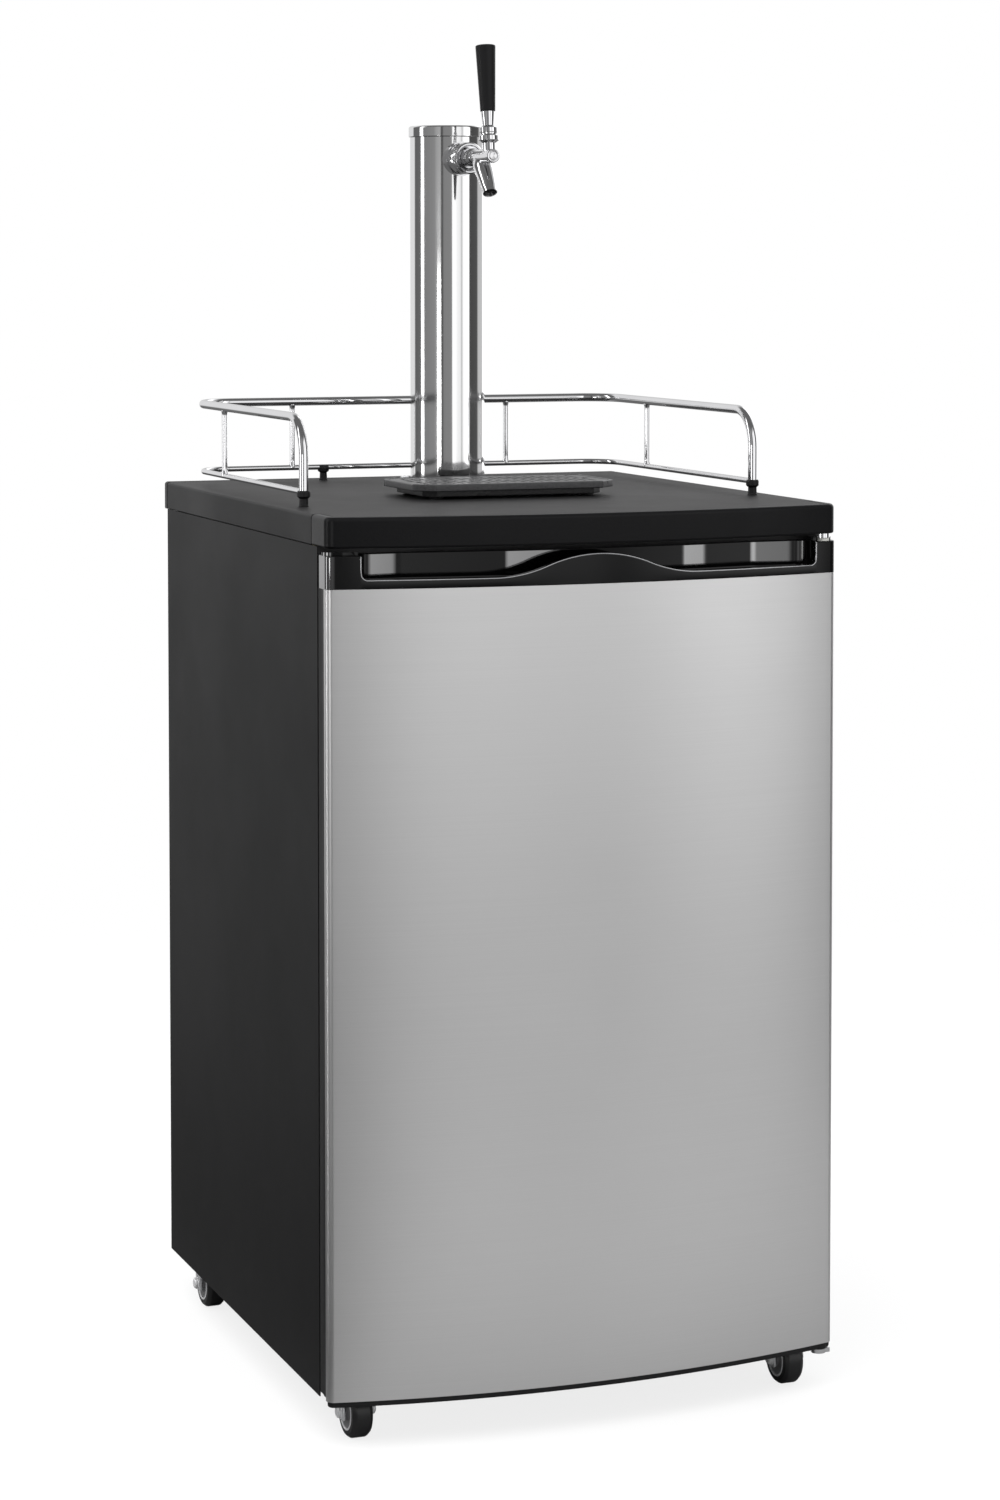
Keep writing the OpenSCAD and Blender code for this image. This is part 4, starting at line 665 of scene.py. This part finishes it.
# Tap: chrome plated brass. A shank with a saddle flange passes the tower wall, a
# slotted nut holds the body, and a lever with a collar and handle works the valve.
SHANK_Z = box("coupling_nut").mean(0)[2]
PIVOT_Z, NOSE_Z, TAP_Y = SHANK_Z + 5, SHANK_Z + 0.5, 2
NUT_R, NUT_BORE, SLOT_Y, SLOT_IN = 16, 9.6, 70.6, 12.7
BARREL_BORE, BARREL_WALL, BARREL_END, BORE_Y = 6.85, 6.93, 61.4, -6.2
SPOUT_BEND, SPOUT_TILT, SPOUT_SWEEP, SPOUT_RINGS = 160, 32, 16.5, 26
SPOUT_DROP, SPOUT_END_R, BORE_DEPTH = 40, 7.5, 2.2
LEAN, KNUCKLE_R = math.radians(6), 6.4
brass = finish("valve_brass", (0.55, 0.41, 0.16), (0.66, 0.50, 0.21), 0.28, 1, brush=(500, 3, 500),
    depth=10)
handle_black = finish("handle_black", (0.006, 0.006, 0.0065), (0.010, 0.010, 0.0105), 0.46, grain=1500,
    depth=30, Specular_IOR_Level=0.2)
dress(chrome, "shank")
dress(brass, "tap_plunger")


def tipped(skin, angle, column, pivot=(0, 0, 0), to=(0, 0, 0)):
    """Skin swung about a pivot, so that x or y mixes with the height by cosine and sine, and then moved."""
    p = skin[0] - pivot
    swung = p.copy()
    swung[:, column] = p[:, column] * math.cos(angle) + p[:, 2] * math.sin(angle)
    swung[:, 2] = p[:, 2] * math.cos(angle) - p[:, column] * math.sin(angle)
    return swung + pivot + to, skin[1]


nut = eased([(NUT_BORE, 60.2), (12.2, 59.2), (12.8, 57.6), (13.4, 57.2), (14.8, 57.2), (NUT_R, 58.8),
    (NUT_R, 63), (15.4, 63.6), (15.4, 64.6), (NUT_R, 65.2), (NUT_R, 76.2), (14.6, 78.8),
    (NUT_BORE, 78.8)], 0.5, 4)
dimple = turned(eased(square(0, 2.2, 0, 3.6), 0.3, 3), (0, 0, 0), "z", 18)
slots = [tipped(dimple, q, 0, to=(SLOT_IN * math.sin(q), SLOT_Y, SHANK_Z + SLOT_IN * math.cos(q)))
    for q in np.radians(np.arange(30, 360, 60))]
put("coupling_nut_turned", [(chrome, turned(nut, (0, 0, SHANK_Z), "y", 72, True)), (shell_black, *slots)],
    "chrome", "coupling_nut")

barrel = eased([(0, -9.9), (3.9, -9.6), (4.5, -8.9), (5, -9.7), (6, -9.8), (6.7, -9), (6.9, -6.8),
    (7.1, -5), (7.2, 6), (7.1, 14), (7, 44), (8.4, 47.6), (9.1, 48.4), (9.1, BARREL_END),
    (BARREL_BORE, BARREL_END), (BARREL_BORE, BORE_Y), (0, BORE_Y)],
    [2, 0.2, 0.2, 0.3, 0.6, 0.6, 1, 4, 30, 3, 0.5, 0.4, 0.4, 0.1, 0.1], 5)
tilt = math.radians(SPOUT_TILT)
slant = np.radians(np.concatenate([SPOUT_TILT + SPOUT_SWEEP * np.linspace(1, 0, SPOUT_RINGS),
    SPOUT_TILT + np.array([0.1, 0.2, 4])]))
tip_y, tip_z = TAP_Y - 2, SHANK_Z - SPOUT_DROP + SPOUT_END_R * math.sin(tilt)
spout_line = np.column_stack([0 * slant, tip_y + SPOUT_BEND * (math.cos(tilt) - np.cos(slant)),
    tip_z + SPOUT_BEND * (np.sin(slant) - math.sin(tilt))])
spout_r = np.interp(np.linspace(0, 1, SPOUT_RINGS), [0, 0.12, 0.26, 0.43, 0.7, 0.89, 0.97, 1],
    [6.4, 8.8, 9.7, 9.2, 7.9, 7.1, 7.2, 7.3])
spout_r = np.concatenate([spout_r, [6.9, 6.6, 6.2]])


def horn(line, radius, slant, sides=40):
    """Skin along a line in the plane x = 0: each ring lies square to its slant from the upright. Points
    inside the barrel drop to its underside, a circle's depth at their x."""
    b = np.linspace(0, 2 * np.pi, sides, endpoint=False)[None]
    r = radius[:, None]
    y = line[:, 1:2] + r * np.cos(b) * np.cos(slant)[:, None]
    z = line[:, 2:3] - r * np.cos(b) * np.sin(slant)[:, None]
    x = r * np.sin(b)
    under = NOSE_Z - np.sqrt((BARREL_WALL ** 2 - x ** 2).clip(0))
    z = np.where(np.hypot(x, z - NOSE_Z) < BARREL_WALL, under, z)
    return loft(np.stack([x, y, z], -1))


plug = turned(square(0, 6.3, 0, 0.4), (0, 0, 0), "z", 32)
up_spout = BORE_DEPTH * np.array([0, math.sin(tilt), math.cos(tilt)])
bore_end = tipped(plug, tilt, 1, to=spout_line[SPOUT_RINGS - 1] + up_spout)
casting = [turned(barrel, (0, 0, NOSE_Z), "y", 56), horn(spout_line, spout_r, slant)]
put("faucet_cast", [(chrome, *casting), (shell_black, bore_end)], "chrome", "faucet_body", angle=48)


def lever_part(name, profile, sides, made, slot, replaced, endless=False):
    """Piece turned about the upright through the lever's pivot, where its heights start, and leaned back."""
    pivot = (0, TAP_Y, PIVOT_Z)
    skin = tipped(turned(profile, pivot, "z", sides, endless), LEAN, 1, pivot)
    put(name, [(made, skin)], slot, replaced, body="lever")


q = np.linspace(-np.pi / 2, 0, 12)
knuckle = KNUCKLE_R * np.column_stack([np.cos(q), np.sin(q)])
collar = eased([(KNUCKLE_R, 0.4), (KNUCKLE_R, 8.4), (8.4, 10), (9.9, 10.8), (9.9, 15.4), (8.9, 16.2),
    (8.6, 17.2), (8.8, 18.4), (9.1, 19), (9.1, 23.4), (7.4, 24.9), (5.5, 25.4), (0, 25.4)], 0.6, 4)
lever_part("lever_turned", np.vstack([knuckle, collar]), 60, chrome, "chrome", "tap_lever")
ferrule = eased([(2.7, 25.6), (5.5, 25.6), (6.9, 39.1), (6.9, 40), (2.7, 40)], 0.3, 4)
lever_part("ferrule_turned", ferrule, 48, chrome, "chrome", "tap_ferrule", True)
grip = eased([(0, 40.1), (7.45, 40.1), (10, 105.1), (9.2, 105.9), (0, 105.9)], [0.5, 0.6, 0.6], 5)
lever_part("handle_moulded", grip, 64, handle_black, "matte_black", "tap_handle")


# Drip tray: a satin black moulding with cut corners that stands on four pads,
# and a lift-out grid with two rows of slots over its basin.
_, TRAY_Y0, TRAY_Z0 = box("drip_tray")[0]
TRAY_X, TRAY_Y1, TRAY_Z1 = box("drip_tray")[1]
TRAY_CUT, CUT_SHRINK, WALL_IN, PAD_X, PAD_IN = 18, 0.586, 12, 79, 22
GRID_Z0, GRID_Z1 = box("drip_grid")[:, 2]
SLOTS, SLOT_PITCH, SLOT_HALF, GRID_MID = 20, 174 / 19, 2, -23
ROW_OFF, ROW_HALF = 22.5, 19.5
SPINE_X, SPINE_Y = 96, ((-76, -64), (-27.2, -18.8), (18, 30))
tray_satin = finish("tray_satin", (0.020, 0.020, 0.021), (0.060, 0.060, 0.062), 0.32, grain=420,
    depth=100, haze=(10, 0.07), Specular_IOR_Level=0.5)


def tray_plan(t):
    """Octagon of the tray as a function of its inset; the cut corners shrink by a share of it."""
    x, y0, y1, c = TRAY_X - t, TRAY_Y0 + t, TRAY_Y1 - t, TRAY_CUT - CUT_SHRINK * t
    return eased([(-x, y0 + c), (-x + c, y0), (x - c, y0), (x, y0 + c), (x, y1 - c), (x - c, y1),
        (-x + c, y1), (-x, y1 - c)], max(2.2 - 0.3 * t, 0.3), 5, True)


rim = eased([(0, TRAY_Z1 - 7), (0, TRAY_Z1), (3, TRAY_Z1), (3, TRAY_Z1 - 4),
    (14.5, TRAY_Z1 - 4), (14.5, TRAY_Z0 + 4), (WALL_IN, TRAY_Z0 + 4), (WALL_IN, TRAY_Z1 - 7)],
    [1, 1.2, 0.7, 0.4, 0.5, 0.3, 0.3, 0.4], 4, True)
basin = plate(lambda t: tray_plan(WALL_IN + t), TRAY_Z0 + 1.9, TRAY_Z0 + 4.1, 0.8, 0.1)
pad = eased(square(0, 6, 0, 2.8), 0.5, 3)
pads = [turned(pad, (sx * PAD_X, y, TRAY_Z0), "z", 28)
    for sx in (-1, 1) for y in (TRAY_Y0 + PAD_IN, TRAY_Y1 - PAD_IN)]
tray_wall = loft(stacked(tray_plan, rim), True)
put("tray_moulded", [(tray_satin, tray_wall, basin), (rubber_black, *pads)], "gloss_black", "drip_tray",
    body="tray")


def grid_bar(x0, x1, y0, y1, corner, under, ease):
    """Flat bar of the grid, set under its top by a little."""
    return plate(round_box(x0, x1, y0, y1, corner), GRID_Z0 + under, GRID_Z1 - under, 0.4, ease, steps=3)


border = eased(square(3.35, 9, GRID_Z0, GRID_Z1, True), 0.5, 3, True)
slot_x = (np.arange(SLOTS) - SLOTS / 2 + 0.5) * SLOT_PITCH
bars = [grid_bar(x + SLOT_HALF, x + SLOT_PITCH - SLOT_HALF, y - ROW_HALF, y + ROW_HALF, 0.8, 0, 0.8)
    for x in slot_x for y in (GRID_MID - ROW_OFF, GRID_MID + ROW_OFF)]
spines = [grid_bar(-SPINE_X, SPINE_X, y0, y1, 0.6, 0.1, 0.6) for y0, y1 in SPINE_Y]
spines += [grid_bar(x0, x1, -64.6, 18.6, 0.6, 0.1, 0.6) for x0, x1 in ((-96.5, -89), (89, 96.5))]
put("grid_moulded", [(tray_satin, loft(stacked(tray_plan, border), True), *bars, *spines)], "matte_black",
    "drip_grid", body="grid")


# Door front: a satin stainless sheet bent over a foam core with rounded side
# edges, hemmed at the back. Its brushing runs level across the door.
_, DOOR_CROWN, DOOR_Z0 = box("door_skin")[0]
_, DOOR_REAR, DOOR_Z1 = box("door_skin")[1]
DOOR_RAD, DOOR_FIL, SHEET_T = 1098.75, 7, 0.85
HEM_X, HEM_HALF, HEM_T = 251, 3.6, 0.9
satin = finish("satin_stainless", (0.74, 0.738, 0.736), (0.80, 0.798, 0.796), 0.34, 1,
    brush=(3, 3, 1100), depth=4, haze=(2.5, 0.03))
door_front = bow_front(TOP_HALF, DOOR_CROWN, DOOR_RAD, DOOR_FIL)
sheet = eased(square(0, SHEET_T, DOOR_Z0, DOOR_Z1, True), 0.3, 3, True)
hems = [plate(round_box(s * HEM_X - HEM_HALF, s * HEM_X + HEM_HALF, DOOR_Z0 + 0.2, DOOR_Z1 - 0.2, 0.3),
    DOOR_REAR - HEM_T, DOOR_REAR, 0.2, 0.2, (0, 2, 1)) for s in (-1, 1)]
put("door_sheet", [(satin, band(sheet, door_front, DOOR_REAR), *hems)], "stainless", "door_skin",
    body="door")


# Door back: a black frame plate, a white moulded liner with a raised rim, and a
# black magnetic gasket with two soft ribs that closes on the cabinet face. A thin
# fin on the free side covers the gap beside it.
_, SEAL_Y, LINER_Z0 = box("door_liner")[0]
LINER_X, RIM_Y, LINER_Z1 = box("door_liner")[1]
SEAL_X, SEAL_Z0, SEAL_Z1 = box("door_gasket")[1][0], *box("door_gasket")[:, 2]
FRAME_X, FRAME_Z0, FRAME_Z1 = box("door_frame")[0][0], *box("door_frame")[:, 2]
PAN_T, RIM_IN, RIM_LIFT, FIN_Y = 5, 20, 25, -232.1
dress(moulded_black, "door_frame")


def rim_ring(profile, x, z0, z1, corner):
    """Frame of a profile of inset and depth carried round a rounded rectangle in x and z."""
    return loft(stacked(round_box(-x, x, z0, z1, corner), profile, (0, 2, 1)), True)


pan = plate(round_box(-LINER_X, LINER_X, LINER_Z0, LINER_Z1, 12), SEAL_Y, SEAL_Y + PAN_T, 0.3, 2.2, (0, 2, 1))
rim_foot = SEAL_Y + PAN_T - 0.2
raised = eased([(0, rim_foot), (2, RIM_Y), (16, RIM_Y), (18, rim_foot)], 4, 6, True)
liner_rim = rim_ring(raised, LINER_X - RIM_IN, LINER_Z0 + RIM_LIFT, LINER_Z1 - RIM_IN, 26)
put("door_liner_moulded", [(white, pan, liner_rim)], "white_plastic", "door_liner", body="door")
ribs = eased([(1, 0.1), (0, 3.5), (1.5, 5.4), (0, 7.5), (1.6, 11), (12.4, 11), (14, 7.5),
    (12.5, 5.4), (14, 3.5), (13, 0.1)], 0.9, 4, True) + (0, SEAL_Y)
fin = plate(round_box(FRAME_X + 0.1, FRAME_X + 2.1, SEAL_Y - 0.4, FIN_Y, 0.8), FRAME_Z0 + 0.4, FRAME_Z1 - 0.4,
    0.5, 0.5)
put("gasket_extruded", [(rubber_black, rim_ring(ribs, SEAL_X, SEAL_Z0, SEAL_Z1, 6), fin)], "black_rubber",
    "door_gasket", body="door")


# Handle strip: a gloss black moulding along the top of the door. A grip recess
# open at the top lies behind a lip that rises into a hump, with a bright rim.
_, STRIP_REAR, STRIP_Z1 = box("handle_strip")[1]
GRIP_LEFT, GRIP_RIGHT, GRIP_DEEP, GRIP_FLOOR, GRIP_BACK = 224, 232, 26, 793.8, -240
LIP_T, LIP_LOW, LIP_EASE, HUMP_HALF, HUMP_H = 7, 798, 1.3, 102, 20
END_R, BACK_R, CORNER_X = 6, 15, TOP_HALF - DOOR_FIL
BEAD_IN, BEAD_DOWN, BEAD_SIDE, BEAD_THICK = 0.55, 0.45, 0.15, 0.75
# Spans in x where the recess wall carries painted reflections, as patches of a strong coat.
REFLECTION_SPAN_HALF, PAINTED_REFLECTION_X = 240, ((-208, -183), (-79, -25), (100, 123), (174, 216), (223, 226))
# Where the strip's left end starts its painted highlight.
PAINTED_HIGHLIGHT_END = {"From Min": -0.2470, "From Max": -0.2490}
gloss_black = finish("gloss_black", (0.003, 0.003, 0.0032), (0.005, 0.005, 0.0052), 0.09, haze=(12, 0.04),
    Specular_IOR_Level=0.24, Coat_IOR=2.4, Coat_Roughness=0.06)
polished_black = finish("polished_black", (0.003, 0.003, 0.0032), (0.006, 0.006, 0.0062), 0.07,
    haze=(12, 0.03), Specular_IOR_Level=0.2, Coat_IOR=3, Coat_Roughness=0.05)
rim_bright = finish("rim_bright", (0.42, 0.42, 0.43), (0.55, 0.55, 0.56), 0.16, 1, haze=(30, 0.05))


def quarter(radius, over):
    """Rise of a quarter circle: nothing until its start and the whole radius at its end."""
    return radius - np.sqrt(np.maximum(radius ** 2 - np.maximum(over, 0) ** 2, 0))


def bow_y(x, inset):
    """Depth of the bowed front at x, set in by an amount, with the rounded side corner beyond the bow."""
    r, mid = DOOR_RAD - inset, DOOR_CROWN + DOOR_RAD
    fy = mid - math.sqrt((DOOR_RAD - DOOR_FIL) ** 2 - CORNER_X ** 2)
    tx = CORNER_X * DOOR_RAD / (DOOR_RAD - DOOR_FIL)
    corner = fy - DOOR_FIL + quarter(DOOR_FIL, np.abs(x) - CORNER_X) + inset
    return np.where(np.abs(x) < tx, mid - np.sqrt(r ** 2 - np.minimum(np.abs(x), tx) ** 2), corner)


def grip_end(x):
    """How far out the recess reaches on the side that x lies on."""
    return np.where(x > 0, GRIP_RIGHT, GRIP_LEFT)


def lip_top(x):
    """Height of the lip: low, with a hump of two equal arcs each way, rounded up to the top at its ends."""
    u, end = np.abs(x), grip_end(x)
    rad = (HUMP_HALF ** 2 + HUMP_H ** 2) / (4 * HUMP_H)
    crest = HUMP_H - quarter(rad, np.minimum(u, HUMP_HALF))
    wave = np.where(u > HUMP_HALF / 2, quarter(rad, HUMP_HALF - u), crest)
    return LIP_LOW + wave + np.where(u < end, quarter(END_R, u - end + END_R), 0)


def strip_ring(x, open_here):
    """Section of the strip at each x: front face, lip top with rounded edges, recess wall, floor and back
    wall, and the strip's back. Where it isn't open the recess points all lie on the top. The two points of
    the back wall come a second time by themselves."""
    front, inner = bow_y(x, 0), bow_y(x, LIP_T)
    tuck = quarter(BACK_R, np.abs(x) - grip_end(x) + BACK_R)
    back = np.maximum(np.minimum(bow_y(x, LIP_T + GRIP_DEEP), GRIP_BACK) - tuck, inner + 0.5)
    top = np.where(open_here, lip_top(x), STRIP_Z1)
    floor = np.where(open_here, GRIP_FLOOR, STRIP_Z1)
    foot, level, rear = (np.full_like(x, value) for value in (DOOR_Z1, STRIP_Z1, STRIP_REAR))
    away = [LIP_EASE * (1 - math.sin(k)) for k in np.radians([0, 22, 45, 68, 90])]
    down = [LIP_EASE * (1 - math.cos(k)) for k in np.radians([0, 22, 45, 68, 90])]
    section = [(front + 0.5, foot), (front, foot + 0.5)]
    section += [(front + d, top - a) for a, d in zip(away, down)]
    section += [(inner - a, top - d) for a, d in zip(away, down)]
    section += [(inner, np.minimum(floor + 2, top - LIP_EASE)), (inner + 2, floor),
        (np.maximum(back - 3, inner + 2), floor)]
    wall = [(back, np.minimum(floor + 3, top + 30)), (back, np.where(open_here, STRIP_Z1 - 0.6, STRIP_Z1))]
    section += wall + [(np.minimum(back + 0.6, STRIP_REAR - 1.2), level), (rear - 0.6, level),
        (rear, level - 0.6), (rear, foot)]
    return [np.stack([np.stack([x, y, z], -1) for y, z in line], 1) for line in (section, wall)]


def half_run(end):
    """Stations from the middle to one side, close at the recess end, then over the rounded corner, and
    which of them are open."""
    near = end - END_R * (1 - np.cos(np.linspace(0, np.pi / 2, 12)))
    inside = np.unique(np.concatenate([np.linspace(0, end - BACK_R, 150),
        np.linspace(end - BACK_R, end - END_R, 8), near]))
    outside = np.concatenate([[end + 0.05], np.linspace(end + 2, CORNER_X - 0.5, 6),
        CORNER_X + DOOR_FIL * np.sin(np.linspace(0.02, np.pi / 2, 10))])
    return np.concatenate([inside, outside]), np.arange(len(inside) + len(outside)) < len(inside)


# Painted reflections on the recess wall: its coat is strong only in set patches along x, which show as bright
# blocks of reflected light.
reflection_tree = polished_black.node_tree
share = ranged(reflection_tree, along(reflection_tree, own_place(reflection_tree), "X"),
    {"From Min": -REFLECTION_SPAN_HALF / 1000, "From Max": REFLECTION_SPAN_HALF / 1000})
painted_reflections = node(reflection_tree, "ValToRGB", {0: share})
reflection_patches = painted_reflections.color_ramp.elements
reflection_patches[0].color = reflection_patches[1].color = (0, 0, 0, 1)
for x0, x1 in PAINTED_REFLECTION_X:
    for x, shine in ((x0 - 1, 0), (x0 + 1, 1), (x1 - 3, 0.85), (x1 + 1, 0)):
        reflection_patches.new((x + REFLECTION_SPAN_HALF) / (2 * REFLECTION_SPAN_HALF)).color = (shine, shine, shine, 1)
reflection_tree.links.new(painted_reflections.outputs["Color"], reflection_tree.nodes["Principled BSDF"].inputs["Coat Weight"])
# Painted highlight: only the strip's left end gets a strong coat, so its corner shows a bright line that the
# right end lacks.
gloss_tree = gloss_black.node_tree
left_end_highlight = ranged(gloss_tree, along(gloss_tree, own_place(gloss_tree), "X"), PAINTED_HIGHLIGHT_END)
gloss_tree.links.new(left_end_highlight, gloss_tree.nodes["Principled BSDF"].inputs["Coat Weight"])

(right_x, right_open), (left_x, left_open) = half_run(GRIP_RIGHT), half_run(GRIP_LEFT)
all_x = np.concatenate([-left_x[:0:-1], right_x])
all_open = np.concatenate([left_open[:0:-1], right_open])
edge_x = all_x[all_open][2:-2]
bead = np.column_stack([edge_x, bow_y(edge_x, BEAD_IN), lip_top(edge_x) - BEAD_DOWN])
rise = np.linspace(LIP_LOW + 8, STRIP_Z1 - 0.7, 6)
bead_ends = [np.column_stack([0 * rise + x, 0 * rise + bow_y(np.array([x]), BEAD_IN), rise])
    for x in (-GRIP_LEFT - BEAD_SIDE, GRIP_RIGHT + BEAD_SIDE)]
bead = np.vstack([bead_ends[0][::-1], bead, bead_ends[1]])
wall_x = all_x[all_open][3:-3]
wall = strip_ring(wall_x, np.ones(len(wall_x), bool))[1]
wall = np.stack([wall[:, 0] + (0, -0.30, 0.4), wall[:, 1] + (0, -0.30, -0.2), wall[:, 1] + (0, -0.02, -0.2),
    wall[:, 0] + (0, -0.02, 0.4)], 1)
put("handle_strip_moulded", [(gloss_black, loft(strip_ring(all_x, all_open)[0])),
    (rim_bright, rod(bead, BEAD_THICK, (0, 1, 0), 8)), (polished_black, loft(wall))], "gloss_black",
    "handle_strip", body="door", angle=50)


# Cap under the door: a black moulding that covers the lower edge of the steel
# and holds the lower hinge bush in a round boss.
HINGE = (243, -253)
CAP_Z0, CAP_Z1 = box("under_cap")[0][2], box("under_cap")[1][2] - LAP
CAP_IN, CAP_DEEP, BOSS_R, BOSS_BORE = 1, 30, 8.1, 4.3
cap_front = bow_front(TOP_HALF - CAP_IN, DOOR_CROWN + CAP_IN, DOOR_RAD - CAP_IN, DOOR_FIL - CAP_IN)
cap_edge = eased(square(0, CAP_DEEP, CAP_Z0, CAP_Z1, True), [2.4, 0.3, 0.2, 0.4], 6, True)
boss = turned(eased(square(BOSS_BORE, BOSS_R, CAP_Z0, CAP_Z1), 0.5, 4), (*HINGE, 0), "z", 40, True)
put("under_cap_moulded", [(moulded_black, band(cap_edge, cap_front, HINGE[1]), boss)], "matte_black",
    "under_cap", body="door")


# Hinges: chrome plated steel brackets screwed to the cabinet, each with a pin
# that turns in a nylon bush in the door.
nylon = finish("natural_nylon", (0.66, 0.66, 0.61), (0.76, 0.76, 0.72), 0.4, grain=600, depth=20)
dress(nylon, "hinge_bushes")
dress(chrome, "upper_hinge", "lower_hinge")


# Keg: a stainless can with rounded ends in black rubber rings on a steel floor
# plate. Its lid, posts and quick disconnects are clamped on top.
KEG_R, LID_R = 104, 32.2
KEG_X, KEG_Y, _ = box("keg_body")[1] - KEG_R
KEG_Z0, KEG_Z1 = box("keg_body")[:, 2]
can_steel = finish("keg_stainless", (0.48, 0.48, 0.48), (0.60, 0.60, 0.60), 0.3, 1, brush=(4, 4, 500),
    depth=20, haze=(6, 0.02))
can = eased([(0, KEG_Z0), (70, KEG_Z0), (KEG_R, KEG_Z0 + 26), (KEG_R, KEG_Z1 - 30), (74, KEG_Z1),
    (LID_R, KEG_Z1), (LID_R, KEG_Z1 - 4.7), (0, KEG_Z1 - 4.7)], [8, 20, 24, 12, 0.6, 0.4], 8)
put("keg_can", [(can_steel, turned(can, (KEG_X, KEG_Y, 0), "z", 96))], "stainless", "keg_body")
dress(rubber_black, "keg_rubber")
dress(can_steel, "keg_floor")
dress(moulded_black, "keg_fittings")


# Gas set: a spun aluminium cylinder with a brass valve and a green handwheel, and
# a regulator with two gauges and a black knob.
GAS_R = 66.5
GAS_X, GAS_Y, _ = box("gas_cylinder")[1] - GAS_R
GAS_Z0, GAS_Z1 = box("gas_cylinder")[:, 2]
REG_Y, VALVE_Z = box("regulator").mean(0)[1], box("regulator_knob").mean(0)[2]
GAUGE_X, GAUGE_DROP, GAUGE_FACE, GAUGE_R, BEZEL_R = 46, 4, REG_Y - 16.2, 17, 20
green = finish("handwheel_green", (0.030, 0.11, 0.045), (0.045, 0.15, 0.065), 0.42, grain=700, depth=40)
dial_white = finish("gauge_white", (0.74, 0.74, 0.72), (0.80, 0.80, 0.78), 0.2, haze=(40, 0.05))
bottle = eased([(0, GAS_Z0), (54.5, GAS_Z0), (GAS_R, GAS_Z0 + 12), (GAS_R, GAS_Z1 - 60),
    (48.5, GAS_Z1 - 24), (18, GAS_Z1), (0, GAS_Z1)], [4, 9, 30, 24, 1], 9)
put("gas_bottle", [(rolled_alu, turned(bottle, (GAS_X, GAS_Y, 0), "z", 80))], "aluminium", "gas_cylinder")
dress(brass, "cylinder_valve")
dress(green, "cylinder_knob")
dress(zinc, "regulator")
dress(moulded_black, "regulator_knob")
dials = []
for s in (-1, 1):
    x, z = GAS_X + s * GAUGE_X, VALVE_Z - GAUGE_DROP
    face = turned(square(0, GAUGE_R, 0, 0.4), (x, GAUGE_FACE, z), "y", 48)
    bezel = eased(square(GAUGE_R, BEZEL_R, 0.4, -1.4, True), 0.5, 4)
    needle = plate(round_box(x - 0.6, x + 0.6, z - 2, z + 12, 0.4), GAUGE_FACE - 0.6, GAUGE_FACE, 0.1, 0.1,
        (0, 2, 1))
    dials += [(dial_white, face), (chrome, turned(bezel, (x, GAUGE_FACE, z), "y", 56, True))]
    dials += [(shell_black, needle)]
put("gauge_dials", dials, "chrome")


# Lines: a clear drink hose from the keg's liquid post up through the tower to the
# shank, and a red gas hose from the regulator over to the keg.
HOSE_R, DRINK_BEND, GAS_BEND, GAS_POST_Z = 5, 40, 18, 707.7
(_, DRINK_Y, DRINK_Z), (_, _, DRINK_END) = box("drink_line")
(GAS_LEFT, _, GAS_END), (GAS_RIGHT, _, GAS_TOP) = box("gas_line")
clear_hose = finish("clear_hose", (0.58, 0.56, 0.50), (0.70, 0.68, 0.62), 0.22, haze=(30, 0.05))
red_hose = finish("red_hose", (0.30, 0.028, 0.022), (0.40, 0.045, 0.036), 0.34, haze=(30, 0.06))
drink_z = DRINK_Z + HOSE_R
drink = eased([(0, DRINK_Y, drink_z), (0, TOWER_Y, drink_z), (0, TOWER_Y, DRINK_END)], DRINK_BEND, 14)
put("drink_hose", [(clear_hose, rod(drink, HOSE_R, (1, 0, 0), 18))], "clear_hose", "drink_line")
gas_x0, gas_x1, gas_z = GAS_LEFT + HOSE_R, GAS_RIGHT - HOSE_R, GAS_TOP - HOSE_R
gas = eased([(gas_x0, REG_Y, GAS_POST_Z), (gas_x0, REG_Y, gas_z), (gas_x1, REG_Y, gas_z),
    (gas_x1, REG_Y, GAS_END)], GAS_BEND, 12)
put("gas_hose", [(red_hose, rod(gas, HOSE_R, (0, 1, 0), 18))], "red_hose", "gas_line")
